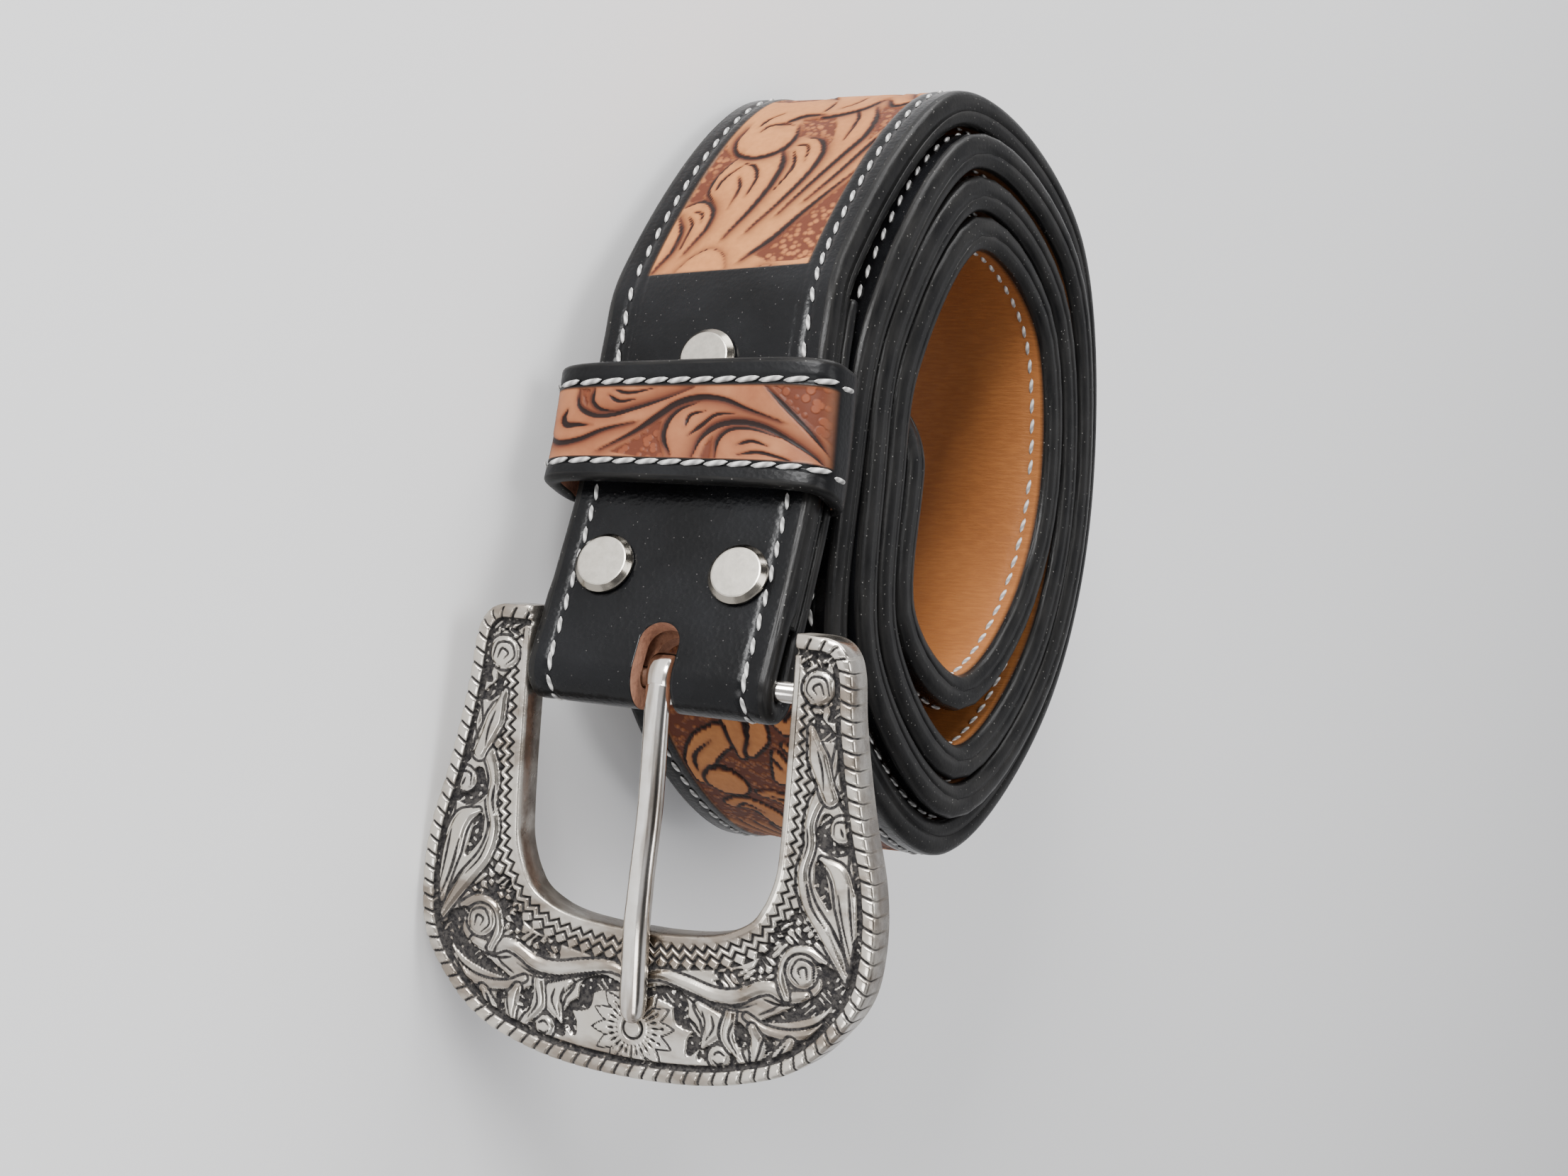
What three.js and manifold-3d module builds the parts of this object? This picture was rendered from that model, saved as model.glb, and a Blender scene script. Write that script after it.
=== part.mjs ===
// Western tooled belt, coiled for storage and lying on its side.
// Millimetres, +Z up. The floor is z = 0 and the origin is under the middle of the belt.
//
// The belt is worked out in its own frame first, and the finished group is then laid down:
//   x  across the strap, towards the edge that ends up on top
//   y  away from the buckle side of the coil
//   z  along the buckle's chape, away from the buckle

import * as THREE from 'three';
import { ConvexHull } from 'three/addons/math/ConvexHull.js';
import { mergeVertices } from 'three/addons/utils/BufferGeometryUtils.js';
import Module from 'manifold-3d';

const wasm = await Module();
wasm.setup();

// Driving dimensions

const GAP = 0.3;                 // clearance between pieces that touch
const STRAP_WIDTH = 38;
const OUTER_LEATHER = 3.0;       // carved and dyed outer layer
const LINING_LEATHER = 2.3;      // smooth inner layer
const EDGE_ROUND = 1.3;          // rounding of the burnished edges
const SKIVED_LEATHER = 2.0;      // outer layer where it is thinned and folded back
const TIP_LENGTH = 16;           // rounded end of the strap

const EYE_RADIUS = 30;           // mean radius of the innermost winding
const WINDING_GAP = 0.45;        // least air between windings
const STEPS_PER_KNOT = 6;        // facets between two knots of the coil

const LEAN = 24.2;               // degrees, chape against the coil's upright
const TWIST = 5.7;               // degrees, chape turned about its own length
const STAND_OFF = 56.75;         // coil centre to the chape's bond line, along y at the screws
const SCREW_DROP = 15.3;         // coil centre down to the screws
const SHIFT_AT_COIL = -2.4;      // outermost winding, set back across the strap

const BAR_RADIUS = 1.5;
const BAR_BELOW_SCREWS = 14.5;
const FOLD_BACK = 58;            // length of the folded-back end above the bar
const LINING_STOP = 9;           // lining ends this far above the bar
const SLOT_WIDTH = 6.2;
const SLOT_SHIFT = 1.0;          // its middle against the strap's
const SLOT_RISE = 6.6;           // slot's round top above the bar
const SLOT_SHOULDER = 0.5;     // the strap's solids part this far below the slot's top
const SEAM = 0.1;              // between those solids

const SCREW_SPREAD = 21.1;       // between the two lower screws
const TOP_SCREW_RISE = 32.3;     // above the lower screws
const LEAD_RISE = 36;            // where the strap bows out over the coil, above the screws
const SCREW_HEAD = 4.5;          // head radius
const SCREW_HEAD_HEIGHT = 1.3;
const SCREW_BEVEL = 0.8;
const SCREW_CAP = 3.9;           // flat cap behind
const SCREW_BARREL = 2.2;

const KEEPER_HEIGHT = 19;
const KEEPER_LEATHER = 2.6;
const KEEPER_BACK = 1.4;         // its leather behind the strap
const KEEPER_RISE = 21.8;        // its middle above the lower screws
const KEEPER_SLACK = 1.4;        // mean room beside the strap
const KEEPER_SHIFT = -1.0;       // its middle against the strap's
const KEEPER_BULGE = 2.0;        // how far its front stands off the strap
const KEEPER_CORNER = 3.2;

const BUCKLE_WIDTH = 71.5;
const BUCKLE_TOP_WIDTH = 59;
const BUCKLE_RISE = 8.4;         // top edge above the bar
const BUCKLE_DROP = 56.5;        // bottom edge below the bar
const BUCKLE_THICKNESS = 6;
const BUCKLE_BACK = 2.4;         // back face behind the bar's axis
const BUCKLE_BEVEL = 1.2;
const WINDOW_CLEARANCE = 1.6;   // between the strap's edges and the buckle's arms
const WINDOW_DROP = 35.4;        // window's lower edge below the bar
const WINDOW_CORNER = 11;
const BUCKLE_SHIFT = 1.2;        // buckle's play along the bar
const BUCKLE_SWING = -24;        // degrees at rest, against the chape
const BAR_SEAT = 3.5;            // bar's length inside each arm

const PRONG_WIDTH = 3.8;
const PRONG_THICKNESS = 2.8;
const PRONG_EYE_WALL = 1.9;
const PRONG_TIP = 48;            // tip below the bar
const PRONG_SHIFT = 0.1;         // prong's middle against the buckle's, at the bar
const PRONG_SKEW = 1.2;          // degrees, its tip to the right

// Coil: one row for each eighth of a turn, from the strap's tip outwards. `eye` is the innermost
// winding's radius as a share of EYE_RADIUS; second, third and fourth are the extra air under
// those windings as shares of the strap's thickness.
const COIL = [
  { angle: 45,   eye: 0.757, second: 0.05, third: 0.05, fourth: 0.02, fifth: 0.45 },
  { angle: 0,    eye: 0.643, second: 0.08, third: 0.04, fourth: 0.04 },
  { angle: -45,  eye: 0.960, second: 0.06, third: 0.02, fourth: 0.16 },
  { angle: -90,  eye: 1.093, second: 0.90, third: 0.00, fourth: 0.00 },
  { angle: -135, eye: 1.000, second: 0.60, third: 0.04, fourth: 0.04 },
  { angle: 180,  eye: 1.067, second: 0.18, third: 0.10, fourth: 0.20 },
  { angle: 135,  eye: 1.280, second: 0.08, third: 0.32, fourth: 0.34 },
  { angle: 90,   eye: 1.307, second: 0.02, third: 0.10, fourth: 0.10 },
];

// Small helpers

const rad = THREE.MathUtils.degToRad;
const vec = (x, y, z) => new THREE.Vector3(x, y, z);
const blend = (a, b, t) => a + (b - a) * t;
const smooth = (t) => THREE.MathUtils.smoothstep(t, 0, 1);

// Turns a mesh the right way round if its faces point inwards.
function outward(geometry) {
  const p = geometry.attributes.position;
  const index = geometry.index.array;
  let volume = 0;
  for (let i = 0; i < index.length; i += 3) {
    const [a, b, c] = [0, 1, 2].map((k) => new THREE.Vector3().fromBufferAttribute(p, index[i + k]));
    volume += a.dot(b.cross(c));
  }
  if (volume < 0) {
    for (let i = 0; i < index.length; i += 3) {
      [index[i + 1], index[i + 2]] = [index[i + 2], index[i + 1]];
    }
  }
  return geometry;
}

// Skins a list of closed rings of equal length, with flat ends, or joined end to end if `closed`.
function skin(rings, closed = false) {
  const n = rings[0].length;
  const positions = rings.flat().flatMap((p) => [p.x, p.y, p.z]);
  const index = [];
  const spans = closed ? rings.length : rings.length - 1;
  for (let i = 0; i < spans; i++) {
    const a = i * n;
    const b = ((i + 1) % rings.length) * n;
    for (let j = 0; j < n; j++) {
      const k = (j + 1) % n;
      index.push(a + j, b + j, b + k, a + j, b + k, a + k);
    }
  }
  if (!closed) {
    const last = (rings.length - 1) * n;
    for (let j = 1; j < n - 1; j++) index.push(0, j, j + 1, last, last + j + 1, last + j);
  }
  const geometry = new THREE.BufferGeometry();
  geometry.setAttribute('position', new THREE.Float32BufferAttribute(positions, 3));
  geometry.setIndex(index);
  return outward(geometry);
}

// manifold-3d solids from geometries, and back
function solid(geometry) {
  const bare = geometry.clone();
  bare.deleteAttribute('normal');
  bare.deleteAttribute('uv');
  const merged = mergeVertices(bare, 1e-4);
  return new wasm.Manifold(new wasm.Mesh({
    numProp: 3,
    vertProperties: Float32Array.from(merged.attributes.position.array),
    triVerts: Uint32Array.from(merged.index.array),
  }));
}

function geometryOf(manifold) {
  const mesh = manifold.getMesh();
  const geometry = new THREE.BufferGeometry();
  geometry.setAttribute('position', new THREE.Float32BufferAttribute(mesh.vertProperties, 3));
  geometry.setIndex(Array.from(mesh.triVerts));
  return geometry;
}

const cut = (geometry, tools) => geometryOf(
  tools.reduce((body, tool) => body.subtract(solid(tool)), solid(geometry)),
);

// Strap's line: knots of the coil, then the lead to the chape and the chape itself.
// A knot is a point on the bond line between outer leather and lining, with the
// strap's twist there.

const strapThickness = OUTER_LEATHER + LINING_LEATHER + GAP;
const windowWidth = STRAP_WIDTH + 2 * WINDOW_CLEARANCE;
const pitch = strapThickness + WINDING_GAP;
const chapeDown = vec(0, -Math.sin(rad(LEAN)), -Math.cos(rad(LEAN)));
const screwsPoint = vec(0, -STAND_OFF, -SCREW_DROP);
const barPoint = screwsPoint.clone().addScaledVector(chapeDown, BAR_BELOW_SCREWS);

function coilKnots() {
  const flat = COIL.map(({ angle, eye }) => {
    const r = eye * EYE_RADIUS;
    return new THREE.Vector2(-r * Math.cos(rad(angle)), r * Math.sin(rad(angle)));
  });
  const eighths = COIL.length;
  const columns = ['second', 'third', 'fourth', 'fifth'];
  for (const column of columns) {
    for (const row of COIL) {
      if (row[column] === undefined) continue;
      const i = flat.length - eighths;
      const before = flat[Math.max(i - 1, 0)];
      const along = flat[i + 1].clone().sub(before).normalize();
      const out = new THREE.Vector2(along.y, -along.x);
      if (out.dot(flat[i]) < 0) out.negate();
      flat.push(flat[i].clone().addScaledVector(out, pitch + row[column] * strapThickness));
    }
  }
  return flat;
}

function strapLine() {
  const flat = coilKnots();
  const outermost = flat.length - COIL.length;
  const points = flat.map((p, i) => {
    const shift = SHIFT_AT_COIL * smooth((i - outermost + 1) / 3);
    return vec(shift, p.x, p.y);
  });
  const twists = points.map(() => 0);
  const lead = [
    { at: screwsPoint.clone().addScaledVector(chapeDown, -LEAD_RISE), bow: 0.72, shift: 0.45, turn: 0.2 },
    { at: screwsPoint.clone().addScaledVector(chapeDown, -BAR_BELOW_SCREWS), bow: 0.08, shift: 0.1, turn: 0.8 },
    { at: screwsPoint, bow: 0, shift: 0, turn: 1 },
    { at: barPoint, bow: 0, shift: 0, turn: 1 },
  ];
  const outOf = vec(0, -Math.cos(rad(LEAN)), Math.sin(rad(LEAN)));
  lead.forEach(({ at, bow, shift, turn }) => {
    const p = at.clone().addScaledVector(outOf, bow * strapThickness);
    p.x += shift * SHIFT_AT_COIL;
    points.push(p);
    twists.push(TWIST * turn);
  });
  return { points, twists };
}

const line = strapLine();
const lineCurve = new THREE.CatmullRomCurve3(line.points, false, 'centripetal');
const knotCount = line.points.length;

// Frame of the strap at knot number k, which may lie between two knots.
function strapFrame(k) {
  const t = THREE.MathUtils.clamp(k / (knotCount - 1), 0, 1);
  const at = lineCurve.getPoint(t);
  const ahead = lineCurve.getPoint(Math.min(1, t + 1e-4)).sub(lineCurve.getPoint(Math.max(0, t - 1e-4)));
  const down = ahead.normalize();
  const low = Math.min(Math.floor(k), knotCount - 2);
  const twist = rad(blend(line.twists[low], line.twists[low + 1], k - low));
  const across = vec(1, 0, 0).addScaledVector(down, -down.x).normalize();
  const out = new THREE.Vector3().crossVectors(down, across).normalize();
  across.applyAxisAngle(down, -twist);
  out.applyAxisAngle(down, -twist);
  return { at, across, out, down };
}

// The knot number at a length above the bar, measured along the strap's line.
const lineSteps = (() => {
  const steps = [{ k: knotCount - 1, above: 0 }];
  let previous = strapFrame(knotCount - 1).at;
  for (let k = knotCount - 1; k > knotCount - 7; k -= 0.02) {
    const { at } = strapFrame(k);
    steps.push({ k, above: steps.at(-1).above + at.distanceTo(previous) });
    previous = at;
  }
  return steps;
})();
const knotAbove = (length) => lineSteps.find(({ above }) => above >= length).k;

const chape = strapFrame(knotCount - 1);
const barAxis = chape.at.clone()
  .addScaledVector(chape.out, GAP / 2 - (BAR_RADIUS + GAP));

// Bands of leather: each station gives a point, the way across and the way out, and the band's
// two faces as distances along the way out. The far face has its corners rounded off.

function band(stations, bevel = EDGE_ROUND) {
  const rings = stations.map(({ at, across, out, near, far, half }) => {
    const corner = Math.sign(far - near) * Math.min(bevel, Math.abs(far - near) * 0.8);
    const bevelled = Math.abs(corner);
    const outline = [
      [-half, near], [-half, far - corner], [-half + bevelled, far],
      [half - bevelled, far], [half, far - corner], [half, near],
    ];
    return outline.map(([u, n]) => at.clone().addScaledVector(across, u).addScaledVector(out, n));
  });
  return skin(rings);
}

// Half width at a length from the tip: a rounded end.
function halfWidth(fromTip) {
  const t = Math.min(1, (fromTip + 0.6) / TIP_LENGTH);
  return (STRAP_WIDTH / 2) * Math.sqrt(1 - (1 - t) ** 2 * 0.96);
}

function runStations(lastKnot, near, far) {
  const stations = [];
  const steps = Math.round(lastKnot * STEPS_PER_KNOT);
  const tipKnots = [0, 0.04, 0.12, 0.24, 0.4, 0.64, 0.9];
  const even = Array.from({ length: steps + 1 }, (_, i) => i / STEPS_PER_KNOT);
  const knots = tipKnots.concat(even.filter((k) => k > tipKnots.at(-1) + 0.05));
  let fromTip = 0;
  let previous = null;
  for (const k of knots.filter((value) => value < lastKnot - 0.05).concat(lastKnot)) {
    const frame = strapFrame(k);
    if (previous) fromTip += frame.at.distanceTo(previous);
    previous = frame.at;
    stations.push({ ...frame, near, far, half: halfWidth(fromTip) });
  }
  return stations;
}

// Round tool along the way out at a place on the strap, long enough for every layer there.
function borer(place, radius, above = 6, below = 10) {
  const tool = new THREE.CylinderGeometry(radius, radius, above + below, 14);
  tool.translate(0, (above - below) / 2, 0);
  tool.applyMatrix4(frameMatrix(place, place.across, place.out));
  return tool;
}

// Matrix that stands x along `across` and y along `out`.
function frameMatrix(place, across, out) {
  const third = new THREE.Vector3().crossVectors(across, out);
  return new THREE.Matrix4().makeBasis(across, out, third).setPosition(place.at);
}

const place = (above, sideways = 0) => {
  const frame = strapFrame(knotAbove(above));
  frame.at.addScaledVector(frame.across, sideways);
  return frame;
};
const screwPlaces = {
  screw_top: place(BAR_BELOW_SCREWS + TOP_SCREW_RISE),
  screw_left: place(BAR_BELOW_SCREWS, -SCREW_SPREAD / 2),
  screw_right: place(BAR_BELOW_SCREWS, SCREW_SPREAD / 2),
};
const boreRadius = SCREW_BARREL + GAP;
const bores = () => Object.values(screwPlaces).map((p) => borer(p, boreRadius));

const backStart = BAR_RADIUS + GAP;
const frontFace = OUTER_LEATHER + GAP / 2;
const liningBack = LINING_LEATHER + GAP / 2;
const backNear = liningBack + GAP;
const backFar = backNear + SKIVED_LEATHER;

function strapGeometry() {
  const stations = runStations(knotCount - 1, GAP / 2, frontFace);
  const foldSteps = 8;
  for (let i = 1; i <= foldSteps; i++) {
    const turn = (Math.PI * i) / foldSteps;
    const out = chape.out.clone().multiplyScalar(Math.cos(turn))
      .addScaledVector(chape.down, Math.sin(turn));
    stations.push({
      at: barAxis, across: chape.across, out,
      near: backStart, far: backStart + OUTER_LEATHER, half: STRAP_WIDTH / 2,
    });
  }
  const backSteps = 12;
  const settle = 9;
  for (let i = 1; i <= backSteps; i++) {
    const above = (FOLD_BACK * i) / backSteps;
    const frame = strapFrame(knotAbove(above));
    const t = smooth(above / settle);
    const near = blend(backStart * 2 - GAP / 2, backNear, t);
    const thick = blend(OUTER_LEATHER, SKIVED_LEATHER, t);
    const out = frame.out.clone().negate();
    stations.push({ ...frame, out, near, far: near + thick, half: STRAP_WIDTH / 2 });
  }
  return strapPieces(cut(band(stations), [...bores(), slotTool()]));
}

// The one strip of outer leather, taken apart where the prong's slot parts it anyway, so that
// each piece is a simple curved band: the strap, the fold on either side of the slot, and the end
// that is turned back behind the chape.
function strapPieces(geometry) {
  const zone = (grow) => {
    const low = -(backStart + OUTER_LEATHER) * 2;
    const high = SLOT_RISE - SLOT_SHOULDER + grow;
    const tool = new THREE.BoxGeometry(STRAP_WIDTH * 1.5, high - low, (backFar + backStart) * 3);
    tool.translate(0, (high + low) / 2, 0);
    return solid(tool.applyMatrix4(chapeMatrix()));
  };
  const whole = solid(geometry);
  const across = (piece) => {
    const box = piece.boundingBox();
    return (box.min[0] + box.max[0]) / 2;
  };
  const [left, right] = whole.intersect(zone(0)).decompose().sort((a, b) => across(a) - across(b));
  const [strap, end] = whole.subtract(zone(SEAM)).decompose().sort((a, b) => b.volume() - a.volume());
  return {
    strap: geometryOf(strap), strap_fold_left: geometryOf(left),
    strap_fold_right: geometryOf(right), strap_turned_end: geometryOf(end),
  };
}

// The chape's own directions, from the middle of the bar.
function chapeMatrix() {
  const up = chape.down.clone().negate();
  return new THREE.Matrix4().makeBasis(chape.across, up, chape.across.clone().cross(up))
    .setPosition(barAxis);
}

// Slot for the prong, through the front of the chape, round the fold and out at the back.
function slotTool() {
  const half = SLOT_WIDTH / 2;
  const outline = new THREE.Shape();
  const low = -(backStart + OUTER_LEATHER) * 2;
  outline.moveTo(-half, low);
  outline.lineTo(half, low);
  outline.lineTo(half, SLOT_RISE - half);
  outline.absarc(0, SLOT_RISE - half, half, 0, Math.PI, false);
  outline.closePath();
  const depth = 24;
  const tool = new THREE.ExtrudeGeometry(outline, { depth, bevelEnabled: false, curveSegments: 8 });
  tool.translate(SLOT_SHIFT, 0, -depth / 2);
  return tool.applyMatrix4(chapeMatrix());
}

function liningGeometry() {
  const stations = runStations(knotAbove(LINING_STOP), -GAP / 2, -liningBack);
  return cut(band(stations, EDGE_ROUND * 0.8), bores());
}

// Keeper: a band of leather closed round the strap and the folded-back end. It bulges in front,
// over the edge of the top screw, and is thinned behind, where it lies next to the coil.
function keeperGeometry() {
  const halfInner = STRAP_WIDTH / 2 + KEEPER_SLACK;
  const front = frontFace + GAP + KEEPER_BULGE;
  const back = -(backFar + GAP);
  const outline = (grow, growBack) => {
    const [w, f, b] = [halfInner + grow, front + grow, back - growBack];
    const r = KEEPER_CORNER + grow;
    const side = [
      [w - r * 0.55, b], [w - r * 0.12, b + r * 0.2], [w, b + r * 0.6],
      [w, f - KEEPER_BULGE * 0.6 - r * 0.55], [w - r * 0.15, f - KEEPER_BULGE * 0.6 - r * 0.16],
      [w - r * 0.55, f - KEEPER_BULGE * 0.5], [w * 0.6, f - KEEPER_BULGE * 0.2],
      [w * 0.3, f - KEEPER_BULGE * 0.04],
    ];
    return [...side, [0, f], ...side.map(([u, n]) => [-u, n]).reverse()];
  };
  const loft = (grow, growBack, longer) => {
    const spans = 5;
    const rings = Array.from({ length: spans + 1 }, (_, i) => {
      const along = blend(-1, 1, i / spans) * (KEEPER_HEIGHT / 2 + longer);
      const { at, across, out } = place(BAR_BELOW_SCREWS + KEEPER_RISE + along, KEEPER_SHIFT);
      return outline(grow, growBack)
        .map(([u, n]) => at.clone().addScaledVector(across, u).addScaledVector(out, n));
    });
    return skin(rings);
  };
  // a notch behind makes room for the top screw's cap
  const notch = borer(screwPlaces.screw_top, SCREW_CAP + GAP, -4, 12);
  return cut(loft(KEEPER_LEATHER, KEEPER_BACK, 0), [loft(0, 0, 3), notch]);
}

// Chicago screw: bevelled head in front, barrel through the layers, flat cap at the back.
function screwGeometry(at) {
  const under = frontFace + GAP * 1.5;
  const behind = -(backFar + GAP);
  const capHeight = 0.9;
  const profile = [
    [0, behind - capHeight], [SCREW_CAP - 0.3, behind - capHeight], [SCREW_CAP, behind],
    [SCREW_BARREL, behind], [SCREW_BARREL, under], [SCREW_HEAD, under],
    [SCREW_HEAD, under + SCREW_HEAD_HEIGHT - SCREW_BEVEL],
    [SCREW_HEAD - SCREW_BEVEL, under + SCREW_HEAD_HEIGHT], [0, under + SCREW_HEAD_HEIGHT],
  ].map(([r, n]) => new THREE.Vector2(r, n));
  return new THREE.LatheGeometry(profile, 18).applyMatrix4(frameMatrix(at, at.across, at.out));
}

// Buckle: x across, y up from the bar, z out of the front. It hangs on the bar.

const half = (width) => width / 2;

// Outline rows: height above or below the bar as a share of the rise or the drop, and the half
// width as a share of the widest half width.
const BUCKLE_SIDES = [
  { down: 0.04, wide: 0.845 }, { down: 0.17, wide: 0.878 }, { down: 0.30, wide: 0.923 },
  { down: 0.43, wide: 0.976 }, { down: 0.54, wide: 1.000 }, { down: 0.64, wide: 0.995 },
  { down: 0.71, wide: 0.972 }, { down: 0.77, wide: 0.935 }, { down: 0.83, wide: 0.866 },
  { down: 0.89, wide: 0.765 }, { down: 0.93, wide: 0.650 }, { down: 0.965, wide: 0.500 },
  { down: 0.99, wide: 0.280 },
];

function buckleOutline(inset) {
  const top = BUCKLE_RISE - inset;
  const topHalf = half(BUCKLE_TOP_WIDTH) - inset;
  const round = 3.2;
  const sides = BUCKLE_SIDES.map(({ down, wide }) => new THREE.Vector2(
    wide * (half(BUCKLE_WIDTH) - inset), -down * (BUCKLE_DROP - inset),
  ));
  // the window opens at the top, where the bar closes it
  const open = half(windowWidth) + inset;
  const floor = -WINDOW_DROP - inset;
  const shape = new THREE.Shape();
  shape.moveTo(open, top);
  shape.lineTo(topHalf - round, top);
  shape.quadraticCurveTo(topHalf, top, topHalf + 0.3, top - round);
  sides.forEach((p) => shape.lineTo(p.x, p.y));
  shape.lineTo(0, -BUCKLE_DROP + inset);
  [...sides].reverse().forEach((p) => shape.lineTo(-p.x, p.y));
  shape.lineTo(-topHalf - 0.3, top - round);
  shape.quadraticCurveTo(-topHalf, top, -topHalf + round, top);
  shape.lineTo(-open, top);
  shape.lineTo(-open, floor + WINDOW_CORNER);
  shape.quadraticCurveTo(-open, floor + 1, -open + WINDOW_CORNER, floor + 0.6);
  shape.quadraticCurveTo(0, floor - 0.4, open - WINDOW_CORNER, floor + 0.6);
  shape.quadraticCurveTo(open, floor + 1, open, floor + WINDOW_CORNER);
  shape.closePath();
  return shape;
}

function buckleGeometry() {
  const frame = new THREE.ExtrudeGeometry(buckleOutline(BUCKLE_BEVEL), {
    depth: BUCKLE_THICKNESS - 2 * BUCKLE_BEVEL, bevelEnabled: true, bevelThickness: BUCKLE_BEVEL,
    bevelSize: BUCKLE_BEVEL, bevelSegments: 1, curveSegments: 6,
  });
  frame.translate(0, 0, BUCKLE_BEVEL - BUCKLE_BACK);
  const length = windowWidth + 2 * (BAR_SEAT + GAP);
  const bore = new THREE.CylinderGeometry(BAR_RADIUS + GAP, BAR_RADIUS + GAP, length, 12);
  bore.rotateZ(Math.PI / 2);
  return cut(frame, [bore]);
}

function barGeometry() {
  const length = windowWidth + 2 * BAR_SEAT;
  return new THREE.CylinderGeometry(BAR_RADIUS, BAR_RADIUS, length, 12).rotateZ(Math.PI / 2);
}

// Prong: an eye round the bar, and a shank that runs down and comes forward to rest on the
// frame's front. Rows follow its middle line: `down` is a share of its length, `lift` goes from
// the eye's middle to the height at rest, `thick` and `wide` are shares of its section.
const PRONG_ROWS = [
  { down: 0.010, lift: 0.00, thick: 0.68, wide: 1.00 }, { down: 0.110, lift: 0.02, thick: 0.86, wide: 1.00 },
  { down: 0.340, lift: 0.14, thick: 1.00, wide: 1.00 }, { down: 0.600, lift: 0.78, thick: 1.00, wide: 1.00 },
  { down: 0.755, lift: 1.03, thick: 1.00, wide: 1.05 }, { down: 0.940, lift: 1.00, thick: 1.00, wide: 1.05 },
  { down: 0.985, lift: 0.97, thick: 0.80, wide: 0.75 }, { down: 1.000, lift: 0.90, thick: 0.45, wide: 0.40 },
];

function prongGeometry() {
  const eyeMiddle = BAR_RADIUS + GAP + PRONG_EYE_WALL / 2;
  const restZ = BUCKLE_THICKNESS - BUCKLE_BACK + GAP + PRONG_THICKNESS / 2;
  const rows = PRONG_ROWS.map(({ down, lift, thick, wide }) => ({
    y: -down * PRONG_TIP, z: blend(eyeMiddle, restZ, lift),
    thick: thick * PRONG_THICKNESS, wide: wide * PRONG_WIDTH,
  }));
  const rings = rows.map(({ y, z, thick, wide }, i) => {
    const before = rows[Math.max(0, i - 1)];
    const after = rows[Math.min(rows.length - 1, i + 1)];
    const along = new THREE.Vector2(after.y - before.y, after.z - before.z).normalize();
    const sides = 8;
    return Array.from({ length: sides }, (_, j) => {
      const turn = (2 * Math.PI * (j + 0.5)) / sides;
      const scale = 1 / Math.cos(Math.PI / sides);
      const across = (wide / 2) * Math.cos(turn) * scale;
      const out = (thick / 2) * Math.sin(turn) * scale;
      return vec(across, y + along.y * out, z - along.x * out);
    });
  });
  const shank = skin(rings);
  const outer = BAR_RADIUS + GAP + PRONG_EYE_WALL;
  const eye = new THREE.CylinderGeometry(outer, outer, PRONG_WIDTH, 16).rotateZ(Math.PI / 2);
  const hole = new THREE.CylinderGeometry(
    BAR_RADIUS + GAP, BAR_RADIUS + GAP, PRONG_WIDTH * 2, 16,
  ).rotateZ(Math.PI / 2);
  return geometryOf(solid(eye).add(solid(shank)).subtract(solid(hole)));
}

// Finishes

const finish = (color, roughness, metalness) => new THREE.MeshStandardMaterial({
  color, roughness, metalness,
});
const carvedLeather = finish(0x26221f, 0.55, 0);
const tanLeather = finish(0xa8683a, 0.6, 0);
const keeperLeather = finish(0x8f5a3a, 0.6, 0);
const antiqueSilver = finish(0x9c9890, 0.35, 0.9);
const nickel = finish(0xc9c3b6, 0.2, 1);

function named(name, geometry, material) {
  const mesh = new THREE.Mesh(geometry, material);
  mesh.name = name;
  return mesh;
}

// Assembly in the belt's own frame

const leatherwork = new THREE.Group();
for (const [name, geometry] of Object.entries(strapGeometry())) {
  leatherwork.add(named(name, geometry, carvedLeather));
}
leatherwork.add(
  named('strap_lining', liningGeometry(), tanLeather),
  named('keeper_loop', keeperGeometry(), keeperLeather),
);
for (const [name, at] of Object.entries(screwPlaces)) {
  leatherwork.add(named(name, screwGeometry(at), nickel));
}

const buckle = new THREE.Group();
buckle.setRotationFromMatrix(chapeMatrix());
buckle.rotateX(-rad(BUCKLE_SWING));
buckle.position.copy(barAxis).addScaledVector(chape.across, BUCKLE_SHIFT);
buckle.add(
  named('buckle_frame', buckleGeometry(), antiqueSilver),
  named('buckle_bar', barGeometry(), nickel),
);
const prong = named('prong', prongGeometry(), nickel);
prong.position.x = PRONG_SHIFT;
prong.rotateZ(rad(PRONG_SKEW));
buckle.add(prong);

const belt = new THREE.Group();
belt.add(leatherwork, buckle);
// the strap's upper edge faces up, and the buckle points along +X
belt.setRotationFromMatrix(new THREE.Matrix4().makeBasis(vec(0, 0, 1), vec(0, 1, 0), vec(-1, 0, 0)));
belt.updateMatrixWorld(true);

// Laid down: the belt rests on the face of its hull that lies below its centre of mass.

function worldPoints(object) {
  const points = [];
  object.updateMatrixWorld(true);
  object.traverse((child) => {
    if (!child.isMesh) return;
    const p = child.geometry.attributes.position;
    for (let i = 0; i < p.count; i++) {
      points.push(new THREE.Vector3().fromBufferAttribute(p, i).applyMatrix4(child.matrixWorld));
    }
  });
  return points;
}

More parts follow.
